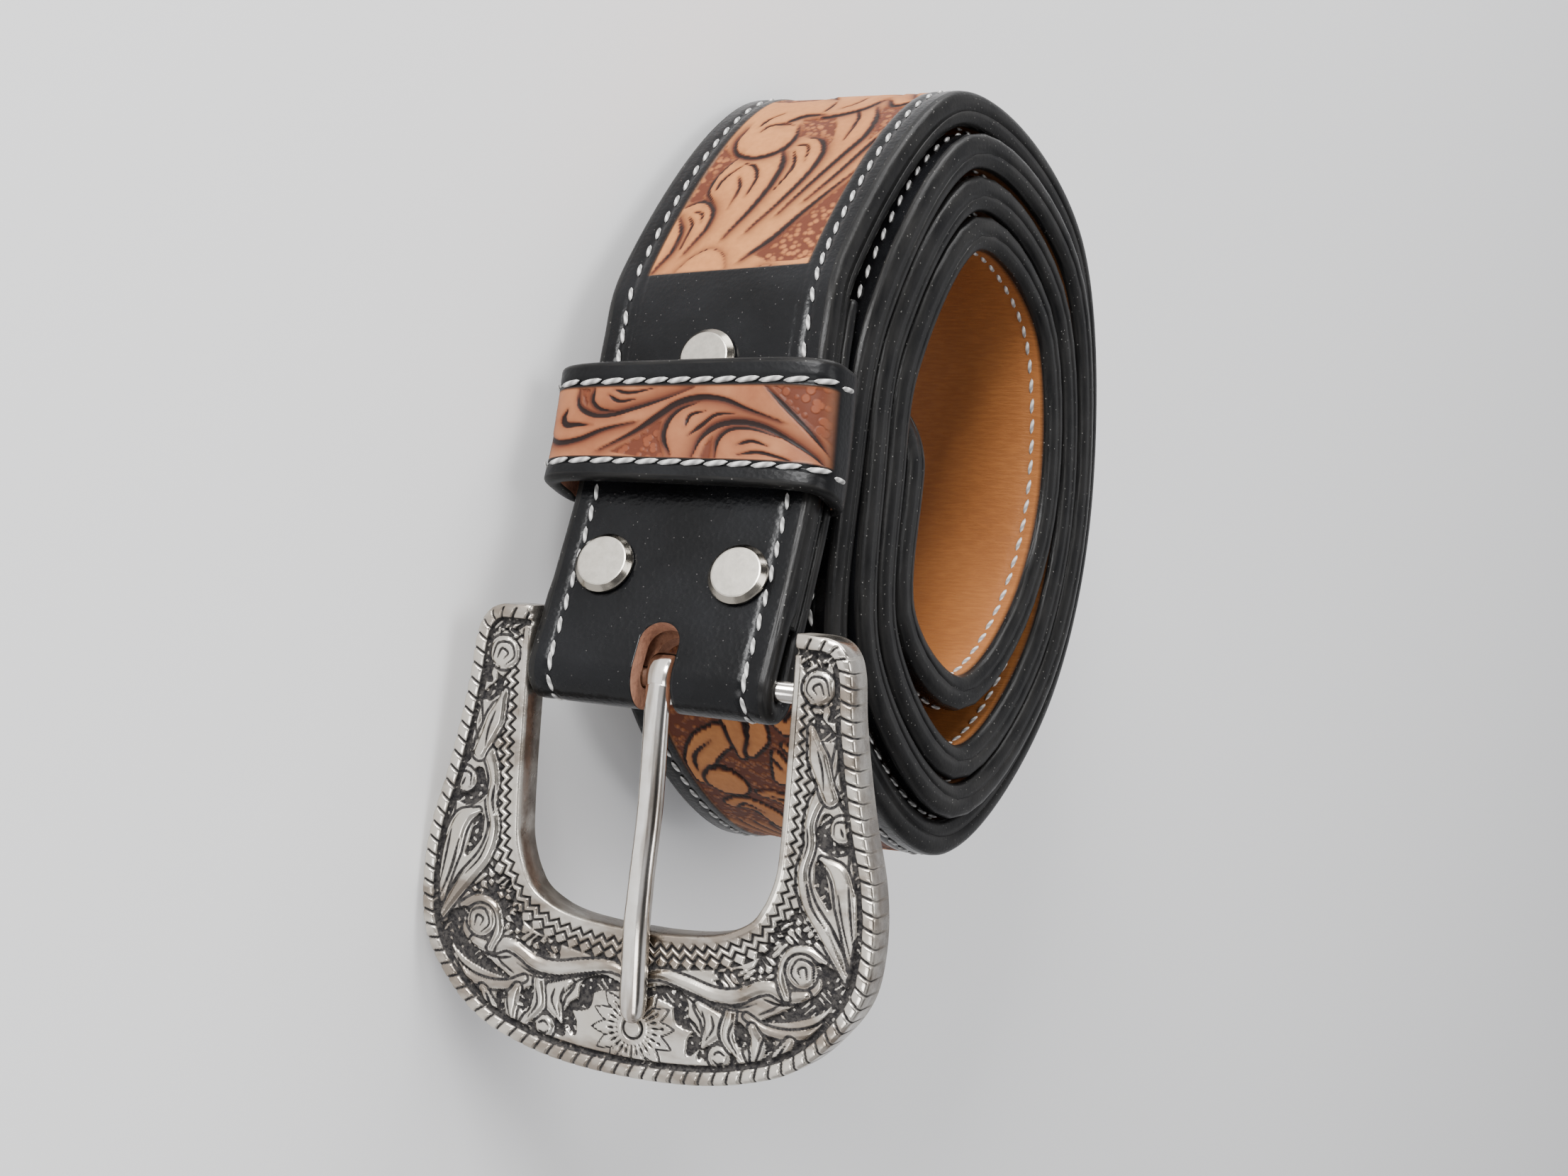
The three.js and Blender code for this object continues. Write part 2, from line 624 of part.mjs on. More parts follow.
// Centre of mass from the solids, with metal and leather at their densities.
function centreOfMass(object) {
  const sum = vec(0, 0, 0);
  let total = 0;
  object.updateMatrixWorld(true);
  object.traverse((child) => {
    if (!child.isMesh) return;
    const density = child.material.metalness > 0.5 ? 7 : 1;
    const geometry = child.geometry.index ? child.geometry : mergeVertices(child.geometry);
    const p = geometry.attributes.position;
    const index = geometry.index.array;
    for (let i = 0; i < index.length; i += 3) {
      const corners = [0, 1, 2].map((k) => new THREE.Vector3()
        .fromBufferAttribute(p, index[i + k]).applyMatrix4(child.matrixWorld));
      const volume = corners[0].dot(corners[1].clone().cross(corners[2])) * density;
      total += volume;
      corners.forEach((corner) => sum.addScaledVector(corner, volume / 4));
    }
  });
  return sum.divideScalar(total);
}

function layDown(object) {
  const centre = centreOfMass(object);
  const hull = new ConvexHull().setFromPoints(worldPoints(object));
  const below = hull.faces
    .filter((face) => face.normal.z < 0)
    .map((face) => ({ face, reach: (face.constant - face.normal.dot(centre)) / -face.normal.z }))
    .sort((a, b) => a.reach - b.reach)[0].face;
  const turn = new THREE.Quaternion().setFromUnitVectors(below.normal, vec(0, 0, -1));
  object.quaternion.premultiply(turn);
  const box = new THREE.Box3().setFromPoints(worldPoints(object));
  const middle = box.getCenter(new THREE.Vector3());
  object.position.sub(vec(middle.x, middle.y, box.min.z));
  object.updateMatrixWorld(true);
}

layDown(belt);

export default belt;
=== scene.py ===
"""Western tooled belt, coiled and lying on its side.

Carved and dyed outer leather, smooth lining, twisted white stitching, a screwed chape with a
keeper loop, and an engraved prong buckle. Lengths inside the functions are millimetres in the
belt's own frame: x across the strap, y away from the buckle side, z along the chape.
"""

import math

import bpy
import numpy as np
from mathutils import Matrix


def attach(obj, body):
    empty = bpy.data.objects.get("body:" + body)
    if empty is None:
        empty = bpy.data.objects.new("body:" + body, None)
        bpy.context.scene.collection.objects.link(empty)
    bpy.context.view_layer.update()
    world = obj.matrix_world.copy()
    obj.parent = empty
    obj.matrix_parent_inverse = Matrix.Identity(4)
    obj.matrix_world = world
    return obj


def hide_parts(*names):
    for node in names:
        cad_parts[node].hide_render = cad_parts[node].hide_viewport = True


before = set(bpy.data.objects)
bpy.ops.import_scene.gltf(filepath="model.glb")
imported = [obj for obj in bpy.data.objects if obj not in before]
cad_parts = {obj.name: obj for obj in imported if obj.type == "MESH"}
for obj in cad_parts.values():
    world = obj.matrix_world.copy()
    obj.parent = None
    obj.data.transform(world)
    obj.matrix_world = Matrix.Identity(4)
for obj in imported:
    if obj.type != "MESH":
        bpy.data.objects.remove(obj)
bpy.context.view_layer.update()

bl_info = {
    "name": "Western tooled belt",
    "version": (1, 0, 0),
    "blender": (4, 5, 0),
    "location": "View3D > Sidebar > Belt",
    "description": "Builds a coiled western belt with carved leather and an engraved buckle",
    "category": "Add Mesh",
}

MM = 0.001

# From the belt's own frame to the floor it lies on: turned on its side, and tipped a little
# because the buckle is wider than the strap.
FLOOR_TURN = np.array([
    [-0.07312196, 0.00237351, -0.99732018],
    [0.06476395, 0.99789779, -0.00237351],
    [0.99521797, -0.06476395, -0.07312196]])
FLOOR_SHIFT = np.array([-11.352854, 6.323634, 27.379131])

# Coil: one row for each eighth of a turn from the strap's tip outwards. Angle, radius of the
# innermost winding as a share of the eye's radius, then the extra air under the second to fifth
# windings as shares of the strap's thickness.
COIL = (
    (45, 0.757, 0.05, 0.05, 0.02, 0.45),
    (0, 0.643, 0.08, 0.04, 0.04, None),
    (-45, 0.960, 0.06, 0.02, 0.16, None),
    (-90, 1.093, 0.90, 0.00, 0.00, None),
    (-135, 1.000, 0.60, 0.04, 0.04, None),
    (180, 1.067, 0.18, 0.10, 0.20, None),
    (135, 1.280, 0.08, 0.32, 0.34, None),
    (90, 1.307, 0.02, 0.10, 0.10, None),
)
EYE_RADIUS, WINDING_GAP = 30.0, 0.45
OUTER, LINING, GAP, SKIVED = 3.0, 2.3, 0.3, 2.0
THICK = OUTER + LINING + GAP
LEAN, TWIST, STAND_OFF, SCREW_DROP, COIL_SHIFT = 24.2, 5.7, 56.75, 15.3, -2.4
BAR_RADIUS, BAR_BELOW, FOLD_BACK, LINING_STOP = 1.5, 14.5, 58.0, 9.0
TOP_SCREW, LEAD_RISE, SCREW_SPREAD = 32.3, 36.0, 21.1
BUCKLE_SHIFT, BUCKLE_SWING = 1.2, -24.0
PANEL_END = BAR_BELOW + 46.7       # where the carved panel stops, above the bar
STITCH_LINE = 15.2                 # stitching from the strap's middle
STRAP_HALF, TIP = 19.0, 16.0       # half its width, and the length of its rounded end
FACE, BACK = OUTER + GAP / 2, LINING + GAP / 2   # the strap's two faces, from its bond line
EDGE_MIDDLE, EDGE_REACH = (FACE - BACK) / 2, (FACE + BACK) / 2
EDGE_TURN = 1.5                    # how far the burnished edges turn in
FOLD_NEAR = BAR_RADIUS + GAP       # faces of the leather folded round the bar
FOLD_FAR = FOLD_NEAR + OUTER
CHAPE_RISE = BAR_BELOW + 22.0      # the chape's own piece starts here, hidden under the keeper
SCROLL = 43.5                      # one repeat of the leaf scroll
SEEN_THROUGH = (240, 289)          # stretch behind the buckle's window, from the panel's end
KEEPER_MIDDLE, KEEPER_SHIFT = BAR_BELOW + 21.8, -1.0
KEEPER_HALF, KEEPER_STITCH = 8.6, 6.35
FOLD_NODES = ("strap_fold_left", "strap_fold_right", "strap_turned_end")


def smooth(t):
    """Smoothstep: 3t squared minus 2t cubed, held between 0 and 1."""
    t = np.clip(t, 0, 1)
    return t * t * (3 - 2 * t)


def through(points, k):
    """Centripetal spline through the points, at knot numbers k that may lie between knots."""
    points = np.asarray(points, float)
    n = len(points)
    ends = np.vstack([2 * points[0] - points[1], points, 2 * points[-1] - points[-2]])
    i = np.clip(k.astype(int), 0, n - 2)
    w = (k - i)[:, None]
    p0, p1, p2, p3 = ends[i], ends[i + 1], ends[i + 2], ends[i + 3]
    d0, d1, d2 = (np.maximum(np.linalg.norm(b - a, axis=1), 1e-8)[:, None] ** 0.5
                  for a, b in ((p0, p1), (p1, p2), (p2, p3)))
    t1 = ((p1 - p0) / d0 - (p2 - p0) / (d0 + d1) + (p2 - p1) / d1) * d1
    t2 = ((p2 - p1) / d1 - (p3 - p1) / (d1 + d2) + (p3 - p2) / d2) * d1
    return p1 + t1 * w + (3 * (p2 - p1) - 2 * t1 - t2) * w ** 2 + (2 * (p1 - p2) + t1 + t2) * w ** 3


def unit(v):
    return v / np.linalg.norm(v, axis=-1, keepdims=True)


def along_run(points):
    """Length along a row of points, from its first."""
    return np.concatenate([[0], np.cumsum(np.linalg.norm(np.diff(points, axis=0), axis=1))])


def signed_power(value, power):
    """A power that keeps its value's sign, as in a superellipse."""
    return np.sign(value) * np.abs(value) ** power


def turned(v, axis, angle):
    """Rodrigues' turn of each vector about its axis, angle in radians."""
    c, s = np.cos(angle)[:, None], np.sin(angle)[:, None]
    return v * c + np.cross(axis, v) * s + axis * (v * axis).sum(1, keepdims=True) * (1 - c)


class StrapLine:
    """The bond line between outer leather and lining, from the tip to the buckle's bar."""

    def __init__(self):
        a = np.radians([row[0] for row in COIL])
        r = np.array([row[1] for row in COIL]) * EYE_RADIUS
        flat = [np.array(p) for p in np.column_stack([-r * np.cos(a), r * np.sin(a)])]
        for column in range(2, 6):
            for row in COIL:
                if row[column] is None:
                    continue
                i = len(flat) - 8
                along = flat[i + 1] - flat[max(i - 1, 0)]
                out = np.array([along[1], -along[0]]) / np.linalg.norm(along)
                out *= np.sign(out @ flat[i])
                flat.append(flat[i] + out * (THICK + WINDING_GAP + row[column] * THICK))
        first = len(flat) - 8
        shift = COIL_SHIFT * smooth((np.arange(len(flat)) - first + 1) / 3)
        points = [np.array([x, p[0], p[1]]) for x, p in zip(shift, flat)]
        twists = [0.0] * len(points)
        lean = math.radians(LEAN)
        down = np.array([0, -math.sin(lean), -math.cos(lean)])
        out = np.array([0, -math.cos(lean), math.sin(lean)])
        screws = np.array([0, -STAND_OFF, -SCREW_DROP])
        lead = ((-LEAD_RISE, 0.72, 0.45, 0.2), (-BAR_BELOW, 0.08, 0.1, 0.8), (0, 0, 0, 1),
                (BAR_BELOW, 0, 0, 1))
        for along, bow, aside, turn in lead:
            p = screws + down * along + out * bow * THICK
            p[0] += aside * COIL_SHIFT
            points.append(p)
            twists.append(TWIST * turn)
        self.points, self.twists, self.last = np.array(points), np.array(twists), len(points) - 1
        self.k = np.linspace(0, self.last, 6000)
        self.length = along_run(through(self.points, self.k))
        self.total = self.length[-1]

    def at(self, length):
        """Point, way across, way out and way down at lengths measured from the tip."""
        k = np.interp(length, self.length, self.k)
        h = 1e-3
        at = through(self.points, k)
        ahead = np.minimum(k + h, self.last)
        down = unit(through(self.points, ahead) - through(self.points, np.maximum(k - h, 0)))
        x = np.zeros_like(down)
        x[:, 0] = 1
        across = unit(x - down * down[:, :1])
        out = unit(np.cross(down, across))
        twist = -np.radians(np.interp(k, np.arange(self.last + 1), self.twists))
        return at, turned(across, down, twist), turned(out, down, twist), down

    def above(self, height):
        """The same at heights above the buckle's bar."""
        return self.at(self.total - np.asarray(height, float))


LINE = StrapLine()


def floor_place(p):
    """Belt frame in millimetres to the floor's frame in metres."""
    return (p @ FLOOR_TURN.T + FLOOR_SHIFT) * MM


# Meshes from grids

def put_mesh(name, points, faces, uv=None, marks=None, smooth_faces=True, material=None, kinds=None):
    """Makes a mesh object at the origin from points in belt millimetres."""
    mesh = bpy.data.meshes.new(name)
    listed = faces.tolist() if isinstance(faces, np.ndarray) else faces
    mesh.from_pydata(floor_place(points), [], listed)
    mesh.polygons.foreach_set("use_smooth", np.full(len(mesh.polygons), smooth_faces))
    loops = np.empty(len(mesh.loops), int)
    mesh.loops.foreach_get("vertex_index", loops)
    if uv is not None:
        layer = mesh.uv_layers.new(name="length_across")
        layer.data.foreach_set("uv", (np.asarray(uv, float)[loops] * MM).ravel())
    for key, values in (marks or {}).items():
        mark = mesh.attributes.new(key, "FLOAT", "POINT")
        mark.data.foreach_set("value", np.asarray(values, float).ravel())
    for m in (material if isinstance(material, (list, tuple)) else [material]):
        mesh.materials.append(m)
    if kinds is not None:
        mesh.polygons.foreach_set("material_index", np.asarray(kinds, int))
    mesh.update()
    obj = bpy.data.objects.new(name, mesh)
    bpy.context.scene.collection.objects.link(obj)
    return obj


def grid_faces(rows, columns, around=False, along=False):
    """Quads of a grid, closed across its columns if around, and along its rows if along."""
    i = np.arange(rows if along else rows - 1)[:, None]
    j = np.arange(columns if around else columns - 1)[None, :]
    i2, j2 = (i + 1) % rows, (j + 1) % columns
    corners = (i * columns + j, i * columns + j2, i2 * columns + j2, i2 * columns + j)
    return np.stack(np.broadcast_arrays(*corners), -1).reshape(-1, 4)


def tube_mesh(rings):
    """Closed body from rings (rows, columns, 3): points and faces, ends closed by a middle point."""
    n, m, _ = rings.shape
    points = np.vstack([rings.reshape(-1, 3), rings[0].mean(0), rings[-1].mean(0)])
    j = np.arange(m)
    after = (j + 1) % m
    first = np.stack([j, np.full(m, n * m), after], -1)
    last = np.stack([(n - 1) * m + j, (n - 1) * m + after, np.full(m, n * m + 1)], -1)
    return points, [*grid_faces(n, m, around=True).tolist(), *first.tolist(), *last.tolist()]


def facing_out(points, faces):
    """Turns all faces round if the body they close has a negative volume."""
    tri = np.array([f[:3] for f in faces] + [[f[0], f[2], f[3]] for f in faces if len(f) == 4])
    a, b, c = points[tri[:, 0]], points[tri[:, 1]], points[tri[:, 2]]
    volume = np.einsum("ij,ij->i", a, np.cross(b, c)).sum()
    return faces if volume > 0 else [f[::-1] for f in faces]


# Carving: every mark is a chain of circles along a smooth line, and its distance is the least
# distance to any of them, so a line swells and tapers with its radii.

def chain(points, radii):
    """Circles along a smooth line through the points, radii blended between the given ones."""
    reach = along_run(np.asarray(points, float))[-1]
    count = int(np.clip(reach / max(0.3 * max(radii), 0.08), 24, 180))
    k = np.linspace(0, len(points) - 1, count)
    centres = through(np.asarray(points, float), k)
    return centres, np.interp(k, np.linspace(0, len(points) - 1, len(radii)), radii)


class Carving:
    """Height, darkness and sunken ground over a field of points x, y."""

    def __init__(self, x, y, level=0.0):
        self.x, self.y = x, y
        self.height = np.full_like(x, level)
        self.dark = np.zeros_like(x)
        self.ground = np.zeros_like(x)

    def within(self, low, high):
        return np.nonzero((self.x > low[0]) & (self.x < high[0]) & (self.y > low[1]) & (self.y < high[1]))

    def cover(self, mask, height):
        """Brings the height to another one where the mask is 1."""
        self.height = self.height * (1 - mask) + height * mask

    def around(self, centres, radii, reach):
        """Points near the chain: where they are, their distance, and which side they are on."""
        r = radii[:, None]
        where = self.within((centres - r).min(0) - reach, (centres + r).max(0) + reach)
        dx, dy = self.x[where][:, None] - centres[:, 0], self.y[where][:, None] - centres[:, 1]
        gap = np.hypot(dx, dy) - radii
        nearest = gap.argmin(1) if gap.size else np.zeros(0, int)
        row = np.arange(len(nearest))
        way = np.gradient(centres, axis=0)[nearest]
        side = np.sign(way[:, 0] * dy[row, nearest] - way[:, 1] * dx[row, nearest])
        return where, gap[row, nearest], side

    def cut(self, points, width=0.3, shade=0.62, side=0, halo=1.0, depth=0.6, ends=(0.12, 0.1)):
        """A knife cut, darkest in its line, with one side bevelled down and darkened as painted shade: +1 is
        the left.
        """
        radii = [width * ends[0], width, width * 0.95, width * 0.7, width * ends[1]]
        where, d, hand = self.around(*chain(points, radii), 3.2)
        line = smooth(0.5 - d / 0.24)
        # On the leather, the darkening of the bevelled side and the soft halo round the cut is painted shade
        # over antique stain; on the buckle it is the antique black of the engraving.
        flank_shade = np.exp(-np.maximum(d, 0) / halo) * (hand == side if side else 0)
        soft = 0.3 * np.exp(-np.maximum(d, 0) / 0.3)
        self.height[where] -= depth * np.maximum(line * 0.75, flank_shade * 0.7)
        self.dark[where] = np.maximum.reduce([self.dark[where], line, shade * flank_shade, soft])

    def zone(self, corners, drop=0.45):
        """Sunken, stippled ground inside a closed outline."""
        c = np.asarray(corners, float)
        where = self.within(c.min(0), c.max(0))
        x, y = self.x[where][:, None], self.y[where][:, None]
        a, b = c, np.roll(c, -1, 0)
        rise = np.where(b[:, 1] == a[:, 1], 1e-9, b[:, 1] - a[:, 1])
        ab = b - a
        crossing = ((a[:, 1] > y) != (b[:, 1] > y)) & (x < a[:, 0] + (y - a[:, 1]) * ab[:, 0] / rise)
        t = np.clip(((x - a[:, 0]) * ab[:, 0] + (y - a[:, 1]) * ab[:, 1]) / (ab ** 2).sum(1), 0, 1)
        edge = np.hypot(x - a[:, 0] - t * ab[:, 0], y - a[:, 1] - t * ab[:, 1]).min(1)
        full = smooth(edge / 0.35) * (crossing.sum(1) % 2)
        self.ground[where] = np.maximum(self.ground[where], full)
        self.height[where] -= drop * full

    def raised(self, points, radii, level=1.0, edge=0.7, line=0.26):
        """A domed ridge, boss or leaf that stands over what was there, inside a dark outline."""
        where, d, _ = self.around(*chain(points, radii), 0.8)
        inside = smooth(0.5 - d / 0.12)
        dome = level * (0.6 + 0.4 * smooth(-d / edge))
        self.height[where] = self.height[where] * (1 - inside) + dome * inside
        self.ground[where] *= 1 - inside
        rim = np.exp(-((d - line * 0.6) / line) ** 2) * (1 - inside)
        self.dark[where] = np.maximum(self.dark[where] * (1 - inside), rim)

    def pocket(self, points, radii, level=0.0):
        """A dark hollow between leaves, with a few bright grains left standing."""
        where, d, _ = self.around(*chain(points, radii), 0.5)
        inside = smooth(0.5 - d / 0.14)
        self.height[where] = self.height[where] * (1 - inside) + level * inside
        self.dark[where] = np.maximum(self.dark[where], inside)
        self.ground[where] = np.maximum(self.ground[where], inside * 0.999)


# The strap's leaf scroll, read across the strap and upwards from the panel's end. Each cut has
# its width and its bevelled side, darkened as painted shade, +1 for the left and -1 for the right of the way
# it runs.
STRAP_CUTS = (
    (((2.5, 2), (6, 6.3), (9, 12), (14.3, 22)), 0.36, -1),
    (((15.1, 43), (15.3, 35), (13.5, 28), (11, 20.5), (8.3, 15)), 0.26, 1),
    (((9, 40.3), (11, 36.5), (11.7, 31), (10.3, 26), (7.3, 18), (4.8, 12)), 0.33, 1),
    (((6.5, 39), (8.1, 36), (8.6, 29.4)), 0.26, 0),
    (((2, 30.6), (4.3, 30), (6.3, 26.8), (6.3, 22), (4.2, 15), (1, 8.3)), 0.33, 1),
    (((1, 28.6), (3, 28.2), (4.4, 24)), 0.2, 0),
    (((1.1, 27.2), (2.8, 23), (1.7, 16.3)), 0.23, 0),
    (((-1.2, 27.5), (0.5, 24), (0.8, 19), (-0.3, 13), (-2.5, 7)), 0.38, 1),
    (((-8, 25.8), (-9.6, 21), (-9.3, 17), (-7.6, 15)), 0.26, -1),
    (((-8.3, 17.5), (-8, 20.3), (-6, 23.8)), 0.2, 0),
    (((-6.2, 24.1), (-4, 23.2), (-2.3, 20), (-2.4, 15.8)), 0.27, 0),
    (((-5.6, 20.7), (-4.3, 18), (-4.2, 13)), 0.23, 0),
    (((-1.6, 34.2), (-0.5, 30.5), (-1.9, 26.9), (-5.4, 25.5), (-9, 26.9), (-10.6, 30.3), (-10.4, 34)),
     0.36, 1),
    (((-7.6, 32.7), (-7, 34.4), (-4.6, 35.2), (-2.2, 34.4)), 0.26, 0),
    (((-4.6, 35.6), (-2.3, 37.7), (0.9, 38.2)), 0.4, -1),
    (((0.8, 37.2), (4, 37.7), (7.4, 40), (8.6, 44)), 0.38, -1),
    (((9.6, 44), (12.1, 40.5), (13.9, 41.5), (15.4, 44.6)), 0.34, -1),
    (((0.4, 38.4), (0.8, 41), (0.2, 44)), 0.2, 0),
    (((3, 40), (4.6, 42), (5, 45)), 0.2, 0),
    (((-8.6, 34.5), (-8.2, 36.8), (-6.4, 39)), 0.22, 0),
    (((-12, 13.6), (-9.4, 15.1), (-7, 13.4), (-6.2, 9.5), (-8, 4)), 0.3, 1),
    (((-12, 11.4), (-10.4, 8.5), (-10.2, 4.5), (-12, 0.3)), 0.22, 1),
    (((-9.8, 12.7), (-8.3, 12.2), (-7.6, 10.2)), 0.18, 0),
    (((-10.3, 11.7), (-9, 9.8), (-8.9, 4.6)), 0.2, 0),
)
STRAP_ZONES = (
    ((4.0, 3.0), (6.6, 6.4), (9.5, 11.8), (14.6, 21), (14.6, 1.5), (11, 0.8), (7, 0.9)),
    ((-13, 14.2), (-9.6, 15.6), (-9.9, 20), (-8.5, 25.8), (-10.8, 27.7), (-13, 31.5)),
    ((-2.2, 36.7), (0.5, 37.4), (3.8, 36.9), (5.6, 34), (6.8, 30), (6.6, 27.6), (5, 30), (2.3, 31.1),
     (-0.2, 30.9), (-0.8, 33.6)),
    ((10, 41.2), (12.2, 39.8), (14.6, 40.6), (14.5, 34), (12.9, 28), (12.2, 33), (10.6, 37.7)),
)
PANEL_ARCS = (((-8.3, -0.6), (-6, 3), (-3.5, 4.5), (-1, 3.2), (1, -1.6)), ((4.5, -1), (7, 0.4), (9.5, -0.8)))

# What shows through the buckle's window: broad dark-grounded leaves, lengths from the panel's end.
WINDOW_LEAVES = (
    (((-3.6, 265), (-7, 262.6), (-10.2, 258.2), (-10.8, 254.5)), (2.2, 2.5, 2.2, 2.0)),
    (((-7.3, 253.6), (-7.2, 253.6)), (3.4, 3.4)),
    (((-1.2, 270.5), (-0.6, 265), (-1.6, 260.6)), (1.5, 1.6, 0.4)),
    (((3.9, 270.5), (2.9, 265.5), (0.2, 261.6)), (1.2, 1.5, 0.6)),
    (((4.8, 262), (4.6, 258.6), (3.4, 255.8)), (0.6, 1.6, 1.2)),
    (((-2.2, 251.4), (1.2, 250.4), (4, 246)), (0.6, 1.5, 1.6)),
    (((-9.6, 247.2), (-6.4, 247.7), (-3.6, 245), (-3, 241)), (0.8, 1.8, 2.0, 1.4)),
    (((6.4, 270.5), (8.6, 267.6), (11, 270)), (0.9, 1.2, 1.0)),
    (((7, 264), (9.6, 260), (11.4, 254)), (0.5, 1.8, 0.8)),
    (((7.5, 251), (10, 247), (11.5, 242)), (0.6, 1.8, 0.8)),
    (((-9.5, 271), (-4, 277), (3, 284)), (0.6, 2.4, 0.8)),
    (((2, 274), (7.5, 279), (11, 286)), (0.5, 2.2, 0.6)),
)
WINDOW_CUTS = (
    ((-11.4, 256), (-10.4, 259.8), (-6, 263.8)), ((1.6, 270), (1.0, 267), (0.7, 263.8)),
    ((-9, 246.0), (-6.6, 247.5), (-4.2, 245.2)), ((-7.4, 245.4), (-5.8, 245.4), (-5.2, 243.4)),
    ((-0.6, 250.9), (1.8, 249.6), (2.6, 247.4)), ((3.9, 260.8), (4.6, 258.4)),
    ((-10.6, 254.8), (-8.6, 257.4), (-5.4, 257.2), (-3.7, 254.6)),
)

# Keeper cuts with their width and bevelled side, as on the strap; the bevelled side is darkened as painted
# shade.
KEEPER_CUTS = (
    (((-20.8, 2.5), (-20.7, -0.2), (-18.5, -1.9), (-15, -1.6), (-11, 0), (-6.2, 1.2)), 0.4, -1),
    (((-16, 6.4), (-15.6, 3.8), (-13, 2.3), (-10, 2.3), (-6, 3.3), (-2, 4.5), (3, 6.2)), 0.36, 1),
    (((-13, 6.4), (-13.3, 4.6), (-12, 3.3), (-9.5, 2.9)), 0.3, -1),
    (((-11, -3.2), (-6, -0.4), (-2.5, 2), (0.5, 4), (4, 4.9), (8, 4.6), (12, 3.2), (17, 1.6)), 0.42, -1),
    (((0.4, -3.7), (-0.8, -1.5), (-0.6, 1), (1, 3), (4, 4.1)), 0.38, 1),
    (((2.4, 0.6), (3, 2.2), (5.4, 2.9)), 0.24, 0),
    (((2.9, -0.9), (5, 0.8), (7, 2.3), (10.3, 2.6)), 0.28, 0),
    (((4, -4.2), (5, -1.4), (7.3, 0.6), (10.5, 1.3), (14.5, 0.7), (18.5, -1.2), (22, -3.5), (24, -5.5)),
     0.42, 1),
    (((7.7, -4.2), (7.8, -1.6), (9.3, 0), (12.5, 0.3), (17, -0.9)), 0.28, 1),
    (((10.8, -2.2), (13, -1.6), (15.6, -2.3)), 0.24, 0),
    (((11, -3.8), (14, -3.3), (17, -3.9), (20, -4.8)), 0.26, 0),
    (((14.4, 6.3), (18, 3.2), (21, 0.3), (24, -3.5)), 0.34, 1),
    (((-17.4, 3.4), (-18, 1.8), (-17.4, 0.9), (-15.6, 0.8), (-12.8, 0.7)), 0.5, 0),
    (((-10.7, 5.3), (-9, 4.4), (-6, 4.7)), 0.26, 0),
    (((-9.9, 6.1), (-7.5, 5.6), (-3, 6.3)), 0.22, 0),
)
KEEPER_ZONES = (
    ((-10, -3.8), (-5, -0.8), (-2.6, 1.2), (-1.4, 1.7), (-1.6, -1.2), (-0.3, -4.6), (-4, -4.8)),
    ((15.2, 6.6), (25, 6.6), (25, -2.6), (20.5, 1.4), (17.6, 4.2)),
    ((4.8, -4.8), (5.8, -1.8), (7.1, -0.3), (7.0, -4.8)),
    ((-15.7, 6.6), (-15.1, 4.3), (-14.1, 3.2), (-13.7, 6.6)),
)


def strap_carving(field):
    """The scroll repeated along the strap, every other one turned over; the first ends in petals."""
    for i in range(9):
        flip, start = 1 - i % 2 * 2, i * SCROLL
        for points, width, side in STRAP_CUTS:
            field.cut([(start + s, (t - 1) * flip) for t, s in points], width, side=-side * flip)
        for points in STRAP_ZONES:
            field.zone([(start + s, (t - 1) * flip) for t, s in points])
    for points in PANEL_ARCS:
        field.cut([(s, t - 1) for t, s in points], 0.08, 0.4, -1, 0.8, 0.35)
    spot = smooth((field.x - SEEN_THROUGH[0]) / 2) * smooth((SEEN_THROUGH[1] - field.x) / 2)
    field.ground = field.ground * (1 - spot) + spot
    field.cover(spot, -0.5)
    speckle = smooth(0.6 + np.sin(field.x * 4.3) * np.sin(field.y * 4.9))
    field.dark = field.dark * (1 - spot) + 0.42 * spot * speckle
    for points, radii in WINDOW_LEAVES:
        field.raised([(s, t) for t, s in points], radii, 0.0, 1.2, 0.45)
    for points in WINDOW_CUTS:
        field.cut([(s, t) for t, s in points], 0.34, 0.3)


# Shader maths as Python expressions

